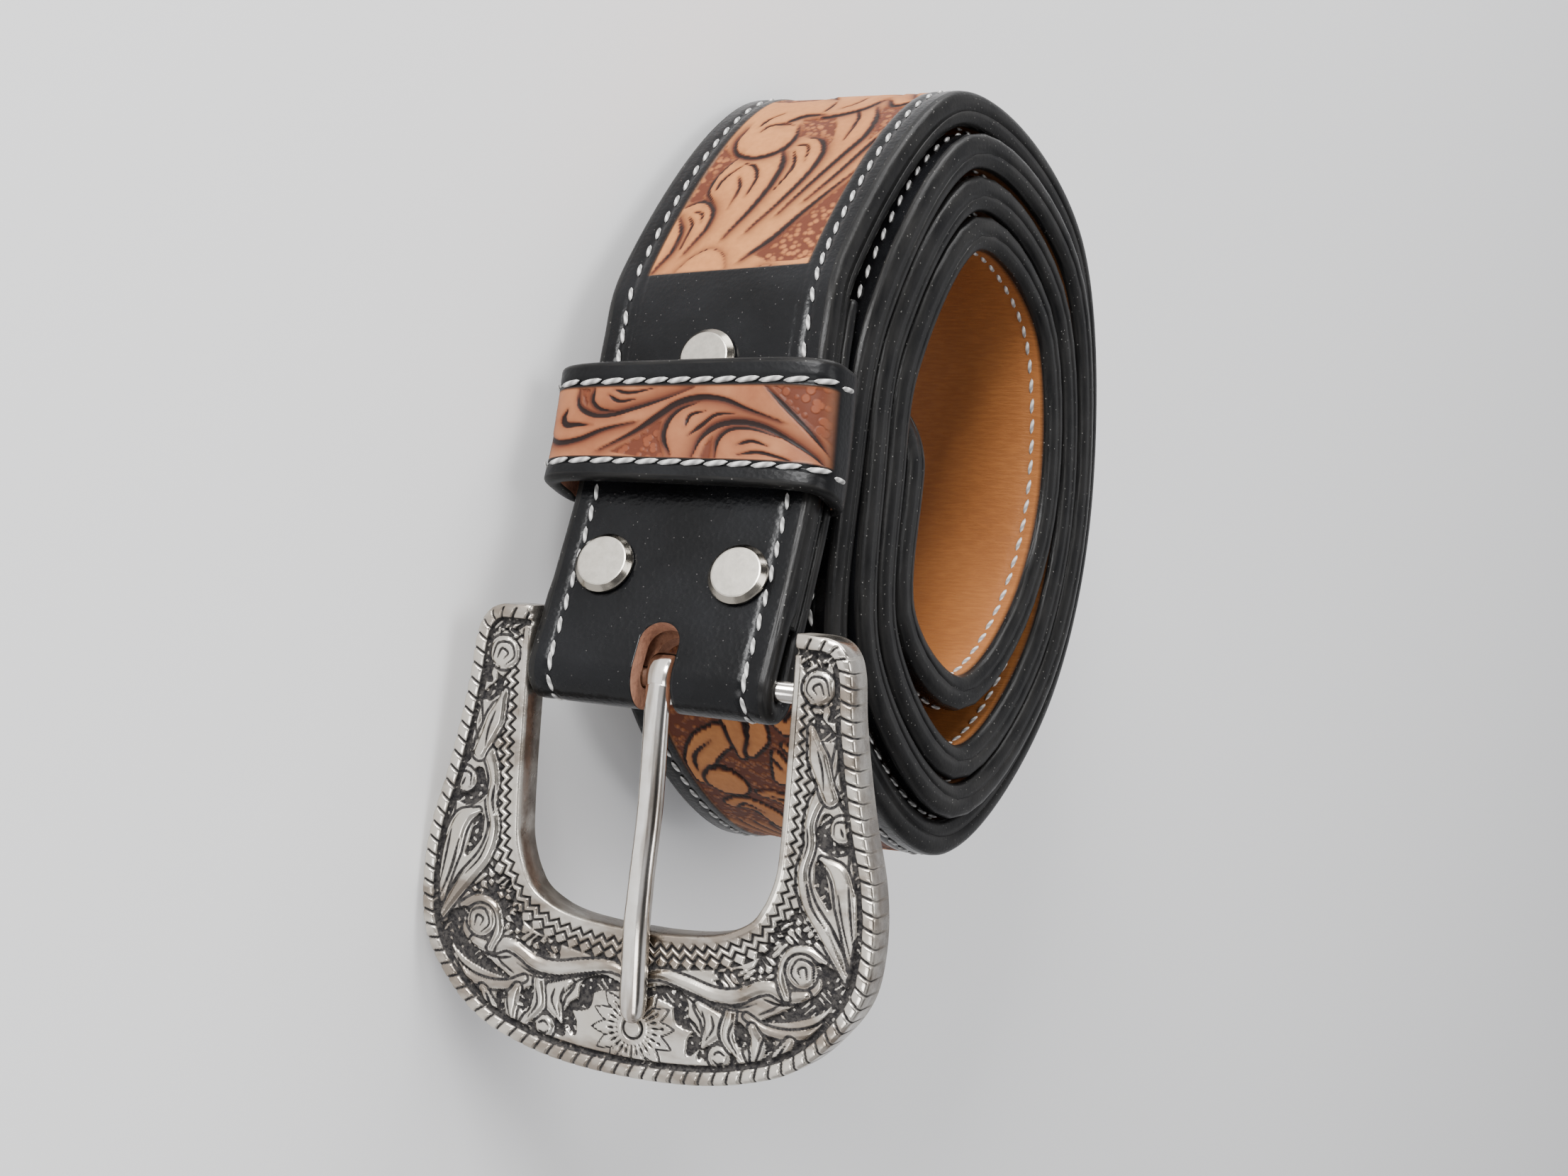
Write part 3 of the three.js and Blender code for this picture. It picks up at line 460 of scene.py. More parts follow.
class Nodes:
    """One material's node tree; values and links go in, wrapped sockets come out."""

    def __init__(self, name):
        self.material = bpy.data.materials.new(name)
        self.material.use_nodes = True
        self.tree = self.material.node_tree
        self.shader = next(n for n in self.tree.nodes if n.type == "BSDF_PRINCIPLED")

    def node(self, kind, settings=None, out=0, **sockets):
        made = self.tree.nodes.new(kind)
        for key, value in (settings or {}).items():
            setattr(made, key, value)
        for key, value in sockets.items():
            numbered = key[0] == "i" and key[1:].isdigit()
            self.feed(made.inputs[int(key[1:]) if numbered else key.replace("_", " ")], value)
        return Wire(self, made.outputs[out])

    def feed(self, spot, value):
        """Links a wire to a socket, or sets the socket to a number or a colour."""
        if isinstance(value, Wire):
            self.tree.links.new(value.socket, spot)
        elif spot.type == "RGBA" and len(value) == 3:
            spot.default_value = (*value, 1.0)
        else:
            spot.default_value = value

    def math(self, operation, a, b=0.0, clamp=False):
        return self.node("ShaderNodeMath", {"operation": operation, "use_clamp": clamp}, i0=a, i1=b)

    def mark(self, name):
        return self.node("ShaderNodeAttribute", {"attribute_name": name}, out=2)

    def mix(self, factor, a, b):
        made = self.tree.nodes.new("ShaderNodeMix")
        made.data_type = "RGBA"
        for spot, value in ((made.inputs[0], factor), (made.inputs[6], a), (made.inputs[7], b)):
            self.feed(spot, value)
        return Wire(self, made.outputs[2])

    def noise(self, place, scale, detail=3.0, rough=0.5):
        return self.node("ShaderNodeTexNoise", Vector=place, Scale=scale, Detail=detail, Roughness=rough)

    def cells(self, place, scale, feature="F1"):
        return self.node("ShaderNodeTexVoronoi", {"feature": feature}, Vector=place, Scale=scale)

    def place(self, stretch=None, uv=False):
        made = self.tree.nodes.new("ShaderNodeTexCoord")
        wire = Wire(self, made.outputs["UV" if uv else "Object"])
        return self.node("ShaderNodeMapping", Vector=wire, Scale=stretch) if stretch else wire

    def bump(self, height, distance, strength=1.0, under=None):
        sockets = {"Height": height, "Distance": distance, "Strength": strength}
        if under:
            sockets["Normal"] = under
        return self.node("ShaderNodeBump", **sockets)

    def finish(self, **sockets):
        for key, value in sockets.items():
            self.feed(self.shader.inputs[key.replace("_", " ")], value)
        return self.material


class Wire:
    """A socket that takes part in sums and products."""

    def __init__(self, nodes, socket):
        self.nodes, self.socket = nodes, socket

    def __add__(self, other):
        return self.nodes.math("ADD", self, other)

    def __sub__(self, other):
        return self.nodes.math("SUBTRACT", self, other)

    def __rsub__(self, other):
        return self.nodes.math("SUBTRACT", other, self)

    def __mul__(self, other):
        return self.nodes.math("MULTIPLY", self, other)

    __radd__, __rmul__ = __add__, __mul__

    def between(self, low, high):
        """0 at low, 1 at high, straight between."""
        return self.nodes.math("MULTIPLY", self - low, 1 / (high - low), clamp=True)


MATERIALS = {}


def keep(maker):
    """Makes a material once and hands out the same one afterwards."""
    def wrapped(props=None):
        if maker.__name__ not in MATERIALS:
            MATERIALS[maker.__name__] = maker(props or bpy.context.scene.belt_colours)
        return MATERIALS[maker.__name__]
    return wrapped


def leather_grain(n, uv, coarse=1.0):
    """Fine pebble of finished leather: small cells over a softer crease."""
    pebble = n.cells(uv, 1500 * coarse)
    crease = n.noise(uv, 420 * coarse, 4.0, 0.6)
    return pebble * 0.6 + crease * 0.7


def panel_colours(n, c, leaf, sunk):
    """Leaves, sunken ground, brown beside the cuts that is antique stain with painted shade, and dark knife
    lines, by the marks.
    """
    ground, dark = n.mark("ground"), n.mark("dark")
    panel = n.mix(ground, leaf, sunk)
    # Brown beside the cuts: antique stain with painted shade from the cuts' bevelled sides.
    panel = n.mix(dark.between(0.0, 0.5), panel, c.tan_brown)
    return n.mix(dark.between(0.42, 0.8), panel, c.knife), ground


@keep
def carved_strap(c):
    """Black dyed leather with the carved tan panel: marks 'tan', 'dark' and 'ground' lay it out."""
    n = Nodes("carved_strap")
    uv, here = n.place(uv=True), n.place()
    tan = n.mark("tan")
    tone = n.noise(uv, 60, 4.0).between(0.3, 0.72)
    fine = n.noise(uv, 900, 3.0).between(0.35, 0.65)
    leaf = n.mix(tone * 0.75, c.tan_light, c.tan_deep)
    leaf = n.mix(fine * 0.16, leaf, c.tan_brown)
    line = n.cells(uv, 900).between(0.3, 0.58)
    sunk = n.mix(line * 0.75 + 0.25, c.tan_deep, c.tan_brown)
    panel, ground = panel_colours(n, c, leaf, sunk)
    specks = n.cells(here, 900).between(0.10, 0.03)
    black = n.mix(n.noise(here, 90, 4.0).between(0.35, 0.7), c.black, c.black_worn)
    black = n.mix(specks * 0.35, black, (0.2, 0.19, 0.18))
    grain = leather_grain(n, uv)
    wrinkle = n.noise(n.place((1.0, 0.35, 1.0), uv=True), 260, 5.0, 0.65)
    height = grain * (1 - tan * 0.75) + wrinkle * (1 - tan) * 1.6
    height = height + (1 - line) * ground * tan * 2.2 + fine * tan * 0.2
    rough = (1 - tan) * (0.17 + grain * 0.12) + tan * 0.56
    return n.finish(Base_Color=n.mix(tan, black, panel), Roughness=rough,
                    Normal=n.bump(height, 0.00010, 0.55), Specular_IOR_Level=0.16)


@keep
def edge_leather(c):
    """Burnished black cut edge with tiny pale specks and streaks along the strap."""
    n = Nodes("edge_leather")
    here, uv = n.place(), n.place((1.0, 14.0, 1.0), uv=True)
    streak = n.noise(uv, 130, 4.0).between(0.3, 0.75)
    specks = n.cells(here, 1000).between(0.13, 0.04)
    tone = n.mix(streak, c.black, c.edge)
    tone = n.mix(specks * 0.5, tone, (0.30, 0.29, 0.27))
    normal = n.bump(streak + n.noise(here, 1400, 2.0) * 0.6, 0.00010, 0.5)
    return n.finish(Base_Color=tone, Roughness=0.36, Normal=normal, Specular_IOR_Level=0.14)


@keep
def smooth_lining(c):
    """Caramel lining: fine cross creases, a paler streaked zone, black rounded edges."""
    n = Nodes("smooth_lining")
    uv, cross, here = n.place(uv=True), n.place((3.0, 0.45, 1.0), uv=True), n.place()
    crease = n.noise(cross, 620, 5.0, 0.65).between(0.42, 0.6)
    cloud = n.noise(uv, 34, 4.0).between(0.3, 0.75)
    tone = n.mix(cloud * 0.8, c.lining, c.lining_deep)
    tone = n.mix((1 - crease) * 0.22, tone, c.tan_brown)
    edge = n.mark("edge")
    black = n.mix(n.cells(here, 1000).between(0.13, 0.04) * 0.5, c.black, (0.3, 0.29, 0.27))
    grain = crease * 0.8 + n.noise(uv, 1600, 2.0) * 0.5
    normal = n.bump(grain, 0.00010, 0.5)
    return n.finish(Base_Color=n.mix(edge, tone, black), Roughness=0.44 - edge * 0.02, Normal=normal,
                    Specular_IOR_Level=0.3)


@keep
def raw_leather(c):
    """Undyed brown flesh side, fuzzy."""
    n = Nodes("raw_leather")
    here = n.place()
    fuzz = n.noise(here, 1300, 6.0, 0.7)
    tone = n.mix(fuzz.between(0.35, 0.75) * 0.6, c.raw, c.tan_brown)
    return n.finish(Base_Color=tone, Roughness=0.9, Normal=n.bump(fuzz, 0.0004, 0.8))


@keep
def keeper_face(c):
    """Keeper: redder, antiqued tan between black borders."""
    n = Nodes("keeper_face")
    uv, here = n.place(uv=True), n.place()
    tan = n.mark("tan")
    antique = n.noise(uv, 130, 5.0, 0.6).between(0.3, 0.7)
    leaf = n.mix(antique * 0.8, c.keeper, c.keeper_deep)
    line = n.cells(uv, 760).between(0.36, 0.52)
    sunk = n.mix(line * 0.8 + 0.2, c.keeper_deep, c.tan_brown)
    panel, ground = panel_colours(n, c, leaf, sunk)
    black = n.mix(n.noise(here, 120, 4.0).between(0.35, 0.7), c.black, c.black_worn)
    grain = leather_grain(n, uv)
    height = grain * (1 - tan * 0.7) + (1 - line) * ground * tan * 2.2
    return n.finish(Base_Color=n.mix(tan, black, panel), Roughness=0.36 + tan * 0.12,
                    Normal=n.bump(height, 0.00010, 0.55), Specular_IOR_Level=0.16)


@keep
def thread(c):
    """Twisted waxed thread: slanted strands along each stitch."""
    n = Nodes("thread")
    uv = n.place(uv=True)
    wave = n.node("ShaderNodeTexWave", {"wave_type": "BANDS", "bands_direction": "DIAGONAL"}, out=1,
                  Vector=uv, Scale=330.0, Distortion=0.6)
    tone = n.mix(wave, c.thread_shade, c.thread)
    return n.finish(Base_Color=tone, Roughness=0.75, Normal=n.bump(wave, 0.00012, 0.8))


@keep
def antique_silver(c):
    """Engraved plate: bright on top, black in the recesses, by the mark 'dark'."""
    n = Nodes("antique_silver")
    here = n.place()
    dark = n.mark("dark")
    stain = n.noise(here, 180, 5.0, 0.6).between(0.35, 0.75)
    pits = n.noise(here, 1500, 4.0, 0.7).between(0.42, 0.58)
    smoke = n.noise(n.place((1.0, 1.0, 0.4)), 150, 4.0, 0.6).between(0.46, 0.6)
    bright = n.mix(stain * 0.5, c.silver, c.silver_warm)
    bright = n.mix(smoke * 0.7, bright, c.smoke)
    deep = n.mix(pits * 0.3, c.recess, (0.12, 0.11, 0.10))
    deep_in = dark.between(0.08, 0.5)
    tone = n.mix(deep_in, bright, deep)
    rough = 0.2 + stain * 0.1 + deep_in * 0.45
    normal = n.bump(pits * dark * 1.4 + n.noise(here, 500, 3.0) * 0.5, 0.00012, 0.45)
    return n.finish(Base_Color=tone, Metallic=1 - deep_in, Roughness=rough, Normal=normal,
                    Specular_IOR_Level=0.15)


@keep
def polished_nickel(c):
    """Polished prong and bar with faint rubbing marks, and dark streaks along the length painted as
    reflection.
    """
    n = Nodes("polished_nickel")
    here = n.place()
    rub = n.noise(here, 260, 5.0, 0.6)
    tone = n.mix(rub.between(0.35, 0.7) * 0.5, c.nickel, c.silver_warm)
    # Painted reflection: dark streaks stretched along the length, in the smoke colour.
    haze = n.noise(n.place((0.12, 1.0, 1.0), uv=True), 420, 3.0, 0.5).between(0.48, 0.64)
    tone = n.mix(haze * 0.7, tone, c.smoke)
    return n.finish(Base_Color=tone, Metallic=1.0, Roughness=0.10 + rub * 0.12,
                    Normal=n.bump(rub, 0.0001, 0.25))


@keep
def brushed_screw(c):
    """Screw heads: spun flat, with a glossier chamfer whose colour is darkened as painted shade."""
    n = Nodes("brushed_screw")
    here = n.place()
    brush = n.noise(here, 700, 6.0, 0.7)
    head_rim_shade = n.mark("head_rim_shade")
    tone = n.mix(brush.between(0.3, 0.7), (0.60, 0.565, 0.50), (0.38, 0.355, 0.31))
    # Painted shade: the chamfer and rim of each head are darkened in colour.
    tone = n.mix(head_rim_shade, tone, (0.30, 0.275, 0.235))
    return n.finish(Base_Color=tone, Metallic=1.0, Roughness=0.24 + brush * 0.2 - head_rim_shade * 0.16,
                    Normal=n.bump(brush, 0.00008, 0.35))


# Leather bands

def band_rings(frames, near, far, half, middle, reach, columns, relief=None, side_points=7):
    """Rings of a leather band with burnished edges.

    Across each ring: the near face, then a side that follows a superellipse about the middle of
    the layers, then the far face in even columns, raised by relief, and the other side.
    """
    at, across, out, _ = frames
    m = len(at)
    sizes = (near, far, half, middle, reach)
    near, far, half, middle, reach = (np.broadcast_to(np.asarray(v, float), (m,)) for v in sizes)
    power = 0.72
    sign = np.sign(far - near)
    low = np.clip((near - middle) * sign / reach, -1, 1)
    start = (np.sign(low) * np.arcsin(np.abs(low) ** (1 / power)))[:, None]
    angle = start + (np.pi / 2 - start) * np.linspace(0, 1, side_points)
    n_side = middle[:, None] + (sign * reach)[:, None] * signed_power(np.sin(angle), power)
    u_side = half[:, None] - EDGE_TURN * (1 - np.abs(np.cos(angle)) ** power)
    v = np.linspace(1, -1, columns)[None, :] * (half - EDGE_TURN)[:, None]
    n_top = far[:, None] * np.ones((1, columns))
    if relief is not None:
        n_top = n_top + sign[:, None] * relief
    v_near = np.linspace(-1, 1, 5)[None, 1:-1] * (half - 0.4)[:, None]
    u = np.hstack([v_near, u_side[:, :-1], v, -u_side[:, -2::-1]])
    n = np.hstack([np.repeat(near[:, None], 3, 1), n_side[:, :-1], n_top, n_side[:, -2::-1]])
    return at[:, None] + across[:, None] * u[..., None] + out[:, None] * n[..., None], u


def band_piece(name, frames, lengths, near, far, half, middle, reach, columns, materials,
               relief=None, marks=None, side_points=7, raw=False):
    """Builds a closed band; marks are given on the far face and are 0 elsewhere."""
    rings, u = band_rings(frames, near, far, half, middle, reach, columns, relief, side_points)
    m, c, _ = rings.shape
    points, faces = tube_mesh(rings)
    first = 3 + side_points - 1
    full = {}
    for key, values in (marks or {}).items():
        whole = np.zeros((m, c))
        whole[:, first:first + columns] = values
        full[key] = np.append(whole.ravel(), [0, 0])
    uv = np.stack([np.repeat(np.asarray(lengths, float)[:, None], c, 1), u], -1).reshape(-1, 2)
    uv = np.vstack([uv, uv[:1], uv[-1:]])
    column = np.tile(np.arange(c), m - 1)
    side = ((column >= 2) & (column < first)) | (column >= first + columns - 1)
    kinds = np.where(side, 1, 0)
    if raw:
        kinds = np.where((column < 2) | (column == c - 1), 2, kinds)
    kinds = np.append(kinds, np.ones(2 * c, int))
    return put_mesh(name, points, facing_out(points, faces), uv, full, True, materials, kinds)


def tip_half(length):
    """Half width near the strap's rounded tip."""
    t = np.clip((length + 0.6) / TIP, 0, 1)
    return STRAP_HALF * np.sqrt(1 - (1 - t) ** 2 * 0.96)


def spaced(stops):
    """Lengths from rows of start, end and step, each stretch divided evenly."""
    return np.unique(np.concatenate([np.linspace(a, b, int(round((b - a) / step)) + 1)
                                     for a, b, step in stops]))


def groove_relief(u, depth=0.28, width=0.55):
    """Stitching channels along both margins."""
    return -depth * np.exp(-((np.abs(u) - STITCH_LINE) / width) ** 2)


def strap_piece():
    """Outer leather from the tip to under the keeper, finely gridded only where it shows."""
    end = LINE.total - PANEL_END
    lengths = spaced(((0, TIP, 1.0), (TIP, end - 340, 5.0), (end - 340, end - 60, 0.62),
                      (end - 60, end + 1.0, 0.38), (end + 1.0, LINE.total - CHAPE_RISE, 1.2)))
    columns = 107
    half = tip_half(lengths)
    v = np.linspace(1, -1, columns)[None, :] * (half - EDGE_TURN)[:, None]
    field = Carving(np.repeat((end - lengths)[:, None], columns, 1), v.copy())
    strap_carving(field)
    tan = smooth((13.25 - np.abs(v)) / 0.25) * smooth((field.x + 0.1) / 0.3)
    tan = tan * smooth((lengths[:, None] - 22) / 0.8)
    relief = groove_relief(v) + tan * (np.clip(field.height, -1.1, 0.1) * 0.5 - 0.1)
    relief += -0.12 * np.exp(-((np.abs(v) - 13.3) / 0.3) ** 2)
    marks = {"tan": tan, "dark": np.clip(field.dark, 0, 1) * tan, "ground": field.ground * tan}
    return band_piece("strap_carved_leather", LINE.at(lengths), lengths, 0.02, FACE, half, EDGE_MIDDLE,
                      EDGE_REACH, columns, [carved_strap(), edge_leather()],
                      relief=np.minimum(relief, 0.0), marks=marks)


def bar_axis():
    """Middle of the bar, and the strap's directions there: across, out and down."""
    at, across, out, down = (v[0] for v in LINE.above([0.0]))
    return at + out * (GAP / 2 - FOLD_NEAR), across, out, down


def round_bar(turn):
    """Frames of the fold: the bar's middle, with the ways out and down turned by each angle."""
    axis, across, out, down = bar_axis()
    c, s = np.cos(turn)[:, None], np.sin(turn)[:, None]
    same = np.ones((len(turn), 1))
    return axis * same, across * same, out * c + down * s, down * c - out * s


def behind_faces(height):
    """Near and far face of the folded-back end: it closes on the lining's back and thins out."""
    t = smooth(height / 9)
    near = FACE + GAP + (2.75 - FACE - GAP) * t
    return near, near + OUTER + (SKIVED - OUTER) * t


def chape_frames():
    """Stations of the outer leather from under the keeper, round the bar and back up behind."""
    up = np.linspace(CHAPE_RISE, 0.0, 60)
    front = LINE.above(up)
    fade = smooth((LINING_STOP + 4 - up) / 4)
    turn = np.radians(np.linspace(0, 180, 34)[1:])
    behind = np.linspace(0, FOLD_BACK, 50)[1:]
    at, across, out, down = LINE.above(behind)
    near, far = behind_faces(behind)
    frames = [np.vstack(parts) for parts in zip(front, round_bar(turn), (at, across, -out, -down))]
    nears = np.concatenate([np.full(60, 0.02), np.full(33, FOLD_NEAR), near])
    fars = np.concatenate([np.full(60, FACE), np.full(33, FOLD_FAR), far])
    middle = np.concatenate([EDGE_MIDDLE + (1.585 - EDGE_MIDDLE) * fade, np.full(33, 3.3), (near + far) / 2])
    reach = np.concatenate([EDGE_REACH + (1.565 - EDGE_REACH) * fade, np.full(33, OUTER / 2),
                            (far - near) / 2])
    lengths = np.concatenate([-up, turn * FOLD_FAR, 15.1 + behind])
    return frames, lengths, nears, fars, middle, reach


def slot_cutter():
    """Body of the prong's slot: an arch on the front, carried through the fold."""
    axis, across, out, down = bar_axis()
    a = np.linspace(0, np.pi, 19)
    arch = np.column_stack([3.1 * np.cos(a), 3.5 + 3.1 * np.sin(a)])
    shape = np.vstack([[3.1, -22], arch, [-3.1, -22]])
    flat = axis + across * (shape[:, :1] + 1.0) - down * shape[:, 1:]
    return tube_mesh(np.stack([flat - out * 12, flat + out * 12]))


def cut_away(obj, cutter):
    """Takes the cutter's body out of obj for good, keeping its material on the cut walls."""
    step = obj.modifiers.new("slot", "BOOLEAN")
    step.operation, step.object, step.solver = "DIFFERENCE", cutter, "EXACT"
    step.material_mode = "TRANSFER"
    graph = bpy.context.evaluated_depsgraph_get()
    graph.update()
    mesh = bpy.data.meshes.new_from_object(obj.evaluated_get(graph), preserve_all_data_layers=True,
                                           depsgraph=graph)
    obj.modifiers.clear()
    uncut, obj.data = obj.data, mesh
    bpy.data.meshes.remove(uncut)
    bpy.data.objects.remove(cutter)


def chape_piece():
    """The plain black chape, folded round the bar, with the prong's slot."""
    frames, lengths, near, far, middle, reach = chape_frames()
    columns = 61
    v = np.linspace(1, -1, columns)[None, :] * np.full((len(lengths), 1), STRAP_HALF - EDGE_TURN)
    worn = 0.10 * np.exp(-((v - 1.0) / 5.0) ** 2) * np.exp(-((lengths[:, None] + 5) / 5.0) ** 2)
    relief = groove_relief(v) - worn
    zero = np.zeros_like(v)
    piece = band_piece("chape", frames, lengths, near, far, STRAP_HALF, middle, reach, columns,
                       [carved_strap(), edge_leather(), raw_leather()], relief=relief,
                       marks={"tan": zero, "dark": zero, "ground": zero}, raw=True)
    points, faces = slot_cutter()
    cutter = put_mesh("slot_cutter", points, facing_out(points, faces), material=raw_leather(),
                      smooth_faces=False)
    cut_away(piece, cutter)
    return piece


def lining_piece():
    """Smooth inner layer, its creases and stitching channels on the inner face."""
    end = LINE.total - LINING_STOP
    lengths = np.unique(np.concatenate([np.linspace(0, TIP, 22), np.arange(TIP + 1.5, end, 1.6), [end]]))
    columns = 41
    half = tip_half(lengths)
    v = np.linspace(1, -1, columns)[None, :] * (half - EDGE_TURN)[:, None]
    return band_piece("strap_lining_leather", LINE.at(lengths), lengths, -0.02, -BACK, half, EDGE_MIDDLE,
                      EDGE_REACH, columns, [smooth_lining(), edge_leather()],
                      relief=groove_relief(v, 0.18, 0.7),
                      marks={"edge": smooth((np.abs(v) - (half[:, None] - 2.2)) / 0.5)})


# Stitches

def stitch_bodies(centres, along, across, out, length, width, height, slant=0.16):
    """Small twisted pads: a superellipsoid for each stitch, slanted across its line."""
    rings, sides = 7, 8
    q = np.linspace(-1, 1, rings)
    swell = np.sqrt(np.clip(1 - np.abs(q) ** 2.6, 0.02, 1))
    a = np.linspace(0, 2 * np.pi, sides, endpoint=False)
    along, across = along + across * slant, across - along * slant
    p = (centres[:, None, None] + along[:, None, None] * (q[:, None, None] * length / 2)
         + across[:, None, None] * (swell[:, None] * np.cos(a)[None])[..., None] * width / 2
         + out[:, None, None] * (swell[:, None] * np.sin(a)[None])[..., None] * height)
    n = len(centres)
    caps = np.array([[0, 1, 2, 3], [0, 3, 4, 7], [4, 5, 6, 7]])
    one = np.vstack([grid_faces(rings, sides, around=True), caps[:, ::-1], caps + (rings - 1) * sides])
    faces = (one[None] + (np.arange(n) * rings * sides)[:, None, None]).reshape(-1, 4)
    uv = np.stack(np.broadcast_arrays(q[:, None] * length / 2, (a / (2 * np.pi) * 2.5)[None]), -1)
    uv = np.broadcast_to(uv[None], (n, rings, sides, 2)).reshape(-1, 2)
    points = p.reshape(-1, 3)
    middle = points[:rings * sides].mean(0)
    a0, b0, c0 = (points[one[:, i]] for i in range(3))
    if np.einsum("ij,ij->i", a0 - middle, np.cross(b0 - middle, c0 - middle)).sum() < 0:
        faces = faces[:, ::-1]
    return points, faces, uv


def join_sets(sets):
    """Several (points, faces, uv) sets as one."""
    starts = np.cumsum([0] + [len(points) for points, _, _ in sets])
    return (np.vstack([points for points, _, _ in sets]),
            np.vstack([faces + start for (_, faces, _), start in zip(sets, starts)]),
            np.vstack([uv for _, _, uv in sets]))


def stitch_rows(frames, face, lift, length=2.55, width=0.66, height=0.3):
    """Stitches on both margins of a face that lies `face` out from the bond line."""
    at, across, out, down = frames
    rows = [at + across * STITCH_LINE * side + out * np.reshape(face + lift, (-1, 1)) for side in (-1, 1)]
    return join_sets([stitch_bodies(row, down, across, out, length, width, height) for row in rows])


# Buckle

BUCKLE_STATIONS, BUCKLE_COLUMNS, BUCKLE_INSET = 850, 92, 0.55
BUCKLE_HALF = (
    # down outside, half width outside, down inside, half width inside
    (-8.4, 24.0, -8.4, 20.6), (-8.3, 25.6, -8.2, 20.6), (-7.6, 27.3, -7.6, 20.6), (-6.0, 28.7, -6.4, 20.6),
    (-3.6, 29.5, -4.4, 20.6), (2.5, 30.2, 1.5, 20.6),
    (9.5, 31.4, 8, 20.6), (17, 33.0, 14.5, 20.6), (24.3, 34.9, 20.5, 20.5), (30.5, 35.7, 25, 20.2),
    (36.4, 35.5, 28.4, 19.2), (40, 34.8, 30, 18.4), (43, 33.4, 31.3, 17.6), (46, 31.2, 32.4, 16.4),
    (49.6, 27.8, 33.7, 14.0), (52.3, 23.8, 34.4, 12.0), (54.1, 19, 34.9, 9.5), (55.5, 13.3, 35.2, 6.6),
    (56.3, 6.5, 35.4, 3.2), (56.5, 0, 35.4, 0),
)

# Engraving of the buckle's right half, in its own frame from the bar's middle; the left mirrors it.
RIDGES = (
    (((1.4, -41.8), (4, -41.1), (8, -41.7), (12.5, -42.7), (16, -42.4), (18.6, -41), (20.8, -40.4),
      (23.6, -41.3), (26.2, -40.8)),
     (0.5, 0.8, 0.95, 0.95, 0.9, 0.85, 0.7)),
    (((23.4, -41.4), (22.3, -38.4), (23.3, -35.4), (26, -34.5), (28.6, -35.8)),
     (0.5, 0.65, 0.65, 0.6, 0.4)),
    (((25.4, -37.6), (25.3, -37.5)), (2.25, 2.25)),
    (((27.4, 2.4), (29.2, -1.5), (29.2, -6.5), (28.2, -11), (25.9, -13.6), (24.8, -17), (25.1, -20.2),
      (24.3, -24), (25.4, -28), (28.6, -32.2), (32, -37.5)),
     (0.8, 1.2, 1.3, 1.3, 1.0, 0.8, 0.8, 0.85, 1.0, 1.1, 0.6)),
    (((24.7, 1.4), (24.6, 1.3)), (2.35, 2.35)),
    (((24.0, -4.2), (25.4, -8.4), (27.6, -13.4)), (0.4, 1.5, 1.1)),
    (((29.7, -17.4), (29.6, -17.5)), (1.75, 1.75)),
    (((31.6, -17.6), (32.0, -21.5), (32.2, -26)), (0.5, 0.8, 1.0)),
    (((27.0, -21.8), (29.6, -23.4), (31.2, -28), (32.8, -36)), (0.3, 1.3, 1.6, 0.7)),
    (((17.6, -44.9), (20.5, -46.3), (24.5, -46.5), (28.6, -45.1), (31.8, -41.3), (33.1, -37.2),
      (33.5, -32.5)),
     (0.4, 0.6, 0.65, 0.65, 0.6, 0.5)),
    (((13.9, -51.3), (13.8, -51.3)), (1.6, 1.6)),
    (((10.4, -44.6), (12.8, -46.8), (11.2, -50.4)), (0.8, 1.9, 0.2)),
    (((15.2, -44.8), (15.0, -48.2), (17.6, -51.6)), (0.8, 1.1, 0.4)),
    (((18.6, -46.4), (19.6, -49), (19.2, -51.8)), (0.6, 1.2, 0.4)),
    (((24.4, -47.4), (22.9, -49.8), (21.6, -51.2)), (0.6, 1.0, 0.4)),
    (((29.0, -46.2), (27.2, -48.6), (24.6, -50)), (0.7, 1.0, 0.4)),
)
POCKETS = (
    (((28.3, -36.9), (29.7, -38.2), (29.2, -40.6), (26.8, -42.5), (23.6, -44), (20.2, -45.2)),
     (0.7, 1.1, 1.0, 1.0, 0.7, 0.15)),
    (((31.1, -39.4), (31.0, -42.2), (29.0, -44.4), (26.2, -45.5)), (0.7, 0.8, 0.5, 0.12)),
    (((2.4, -43.9), (5, -43.7), (7.3, -44.7), (7.7, -46.8), (9.7, -47.8)), (0.5, 0.9, 0.95, 0.9, 0.5)),
    (((10.2, -48.4), (9.8, -50), (9.2, -51.4)), (0.4, 0.85, 0.4)),
    (((16.6, -46.6), (17.6, -48.2), (16.5, -50.0), (15.6, -51.8)), (0.5, 0.75, 0.5, 0.4)),
    (((21.4, -48.0), (21, -50.6)), (0.6, 0.4)),
    (((24.6, -48.9), (26.4, -47.2)), (0.5, 0.3)),
    (((12.0, -49.2), (11.2, -51.6)), (0.3, 0.6)),
    (((26.8, 0.0), (27.6, -1.9), (26.6, -2.8)), (0.7, 0.9, 0.3)),
    (((24.8, -2.6), (26.0, -4.6), (27.6, -5.2)), (0.4, 0.95, 0.4)),
    (((27.4, -16.4), (27.0, -19.2), (29, -20.4), (31.2, -20.1)), (0.7, 0.9, 0.7, 0.4)),
    (((26.8, -22.8), (27.2, -25.4), (28.6, -28.2)), (0.6, 0.8, 0.3)),
    (((28.8, -13.6), (30.2, -14.6), (31.2, -13.4)), (0.3, 0.6, 0.3)),
    (((31.2, -10.6), (31.6, -15.6)), (0.3, 0.35)),
)
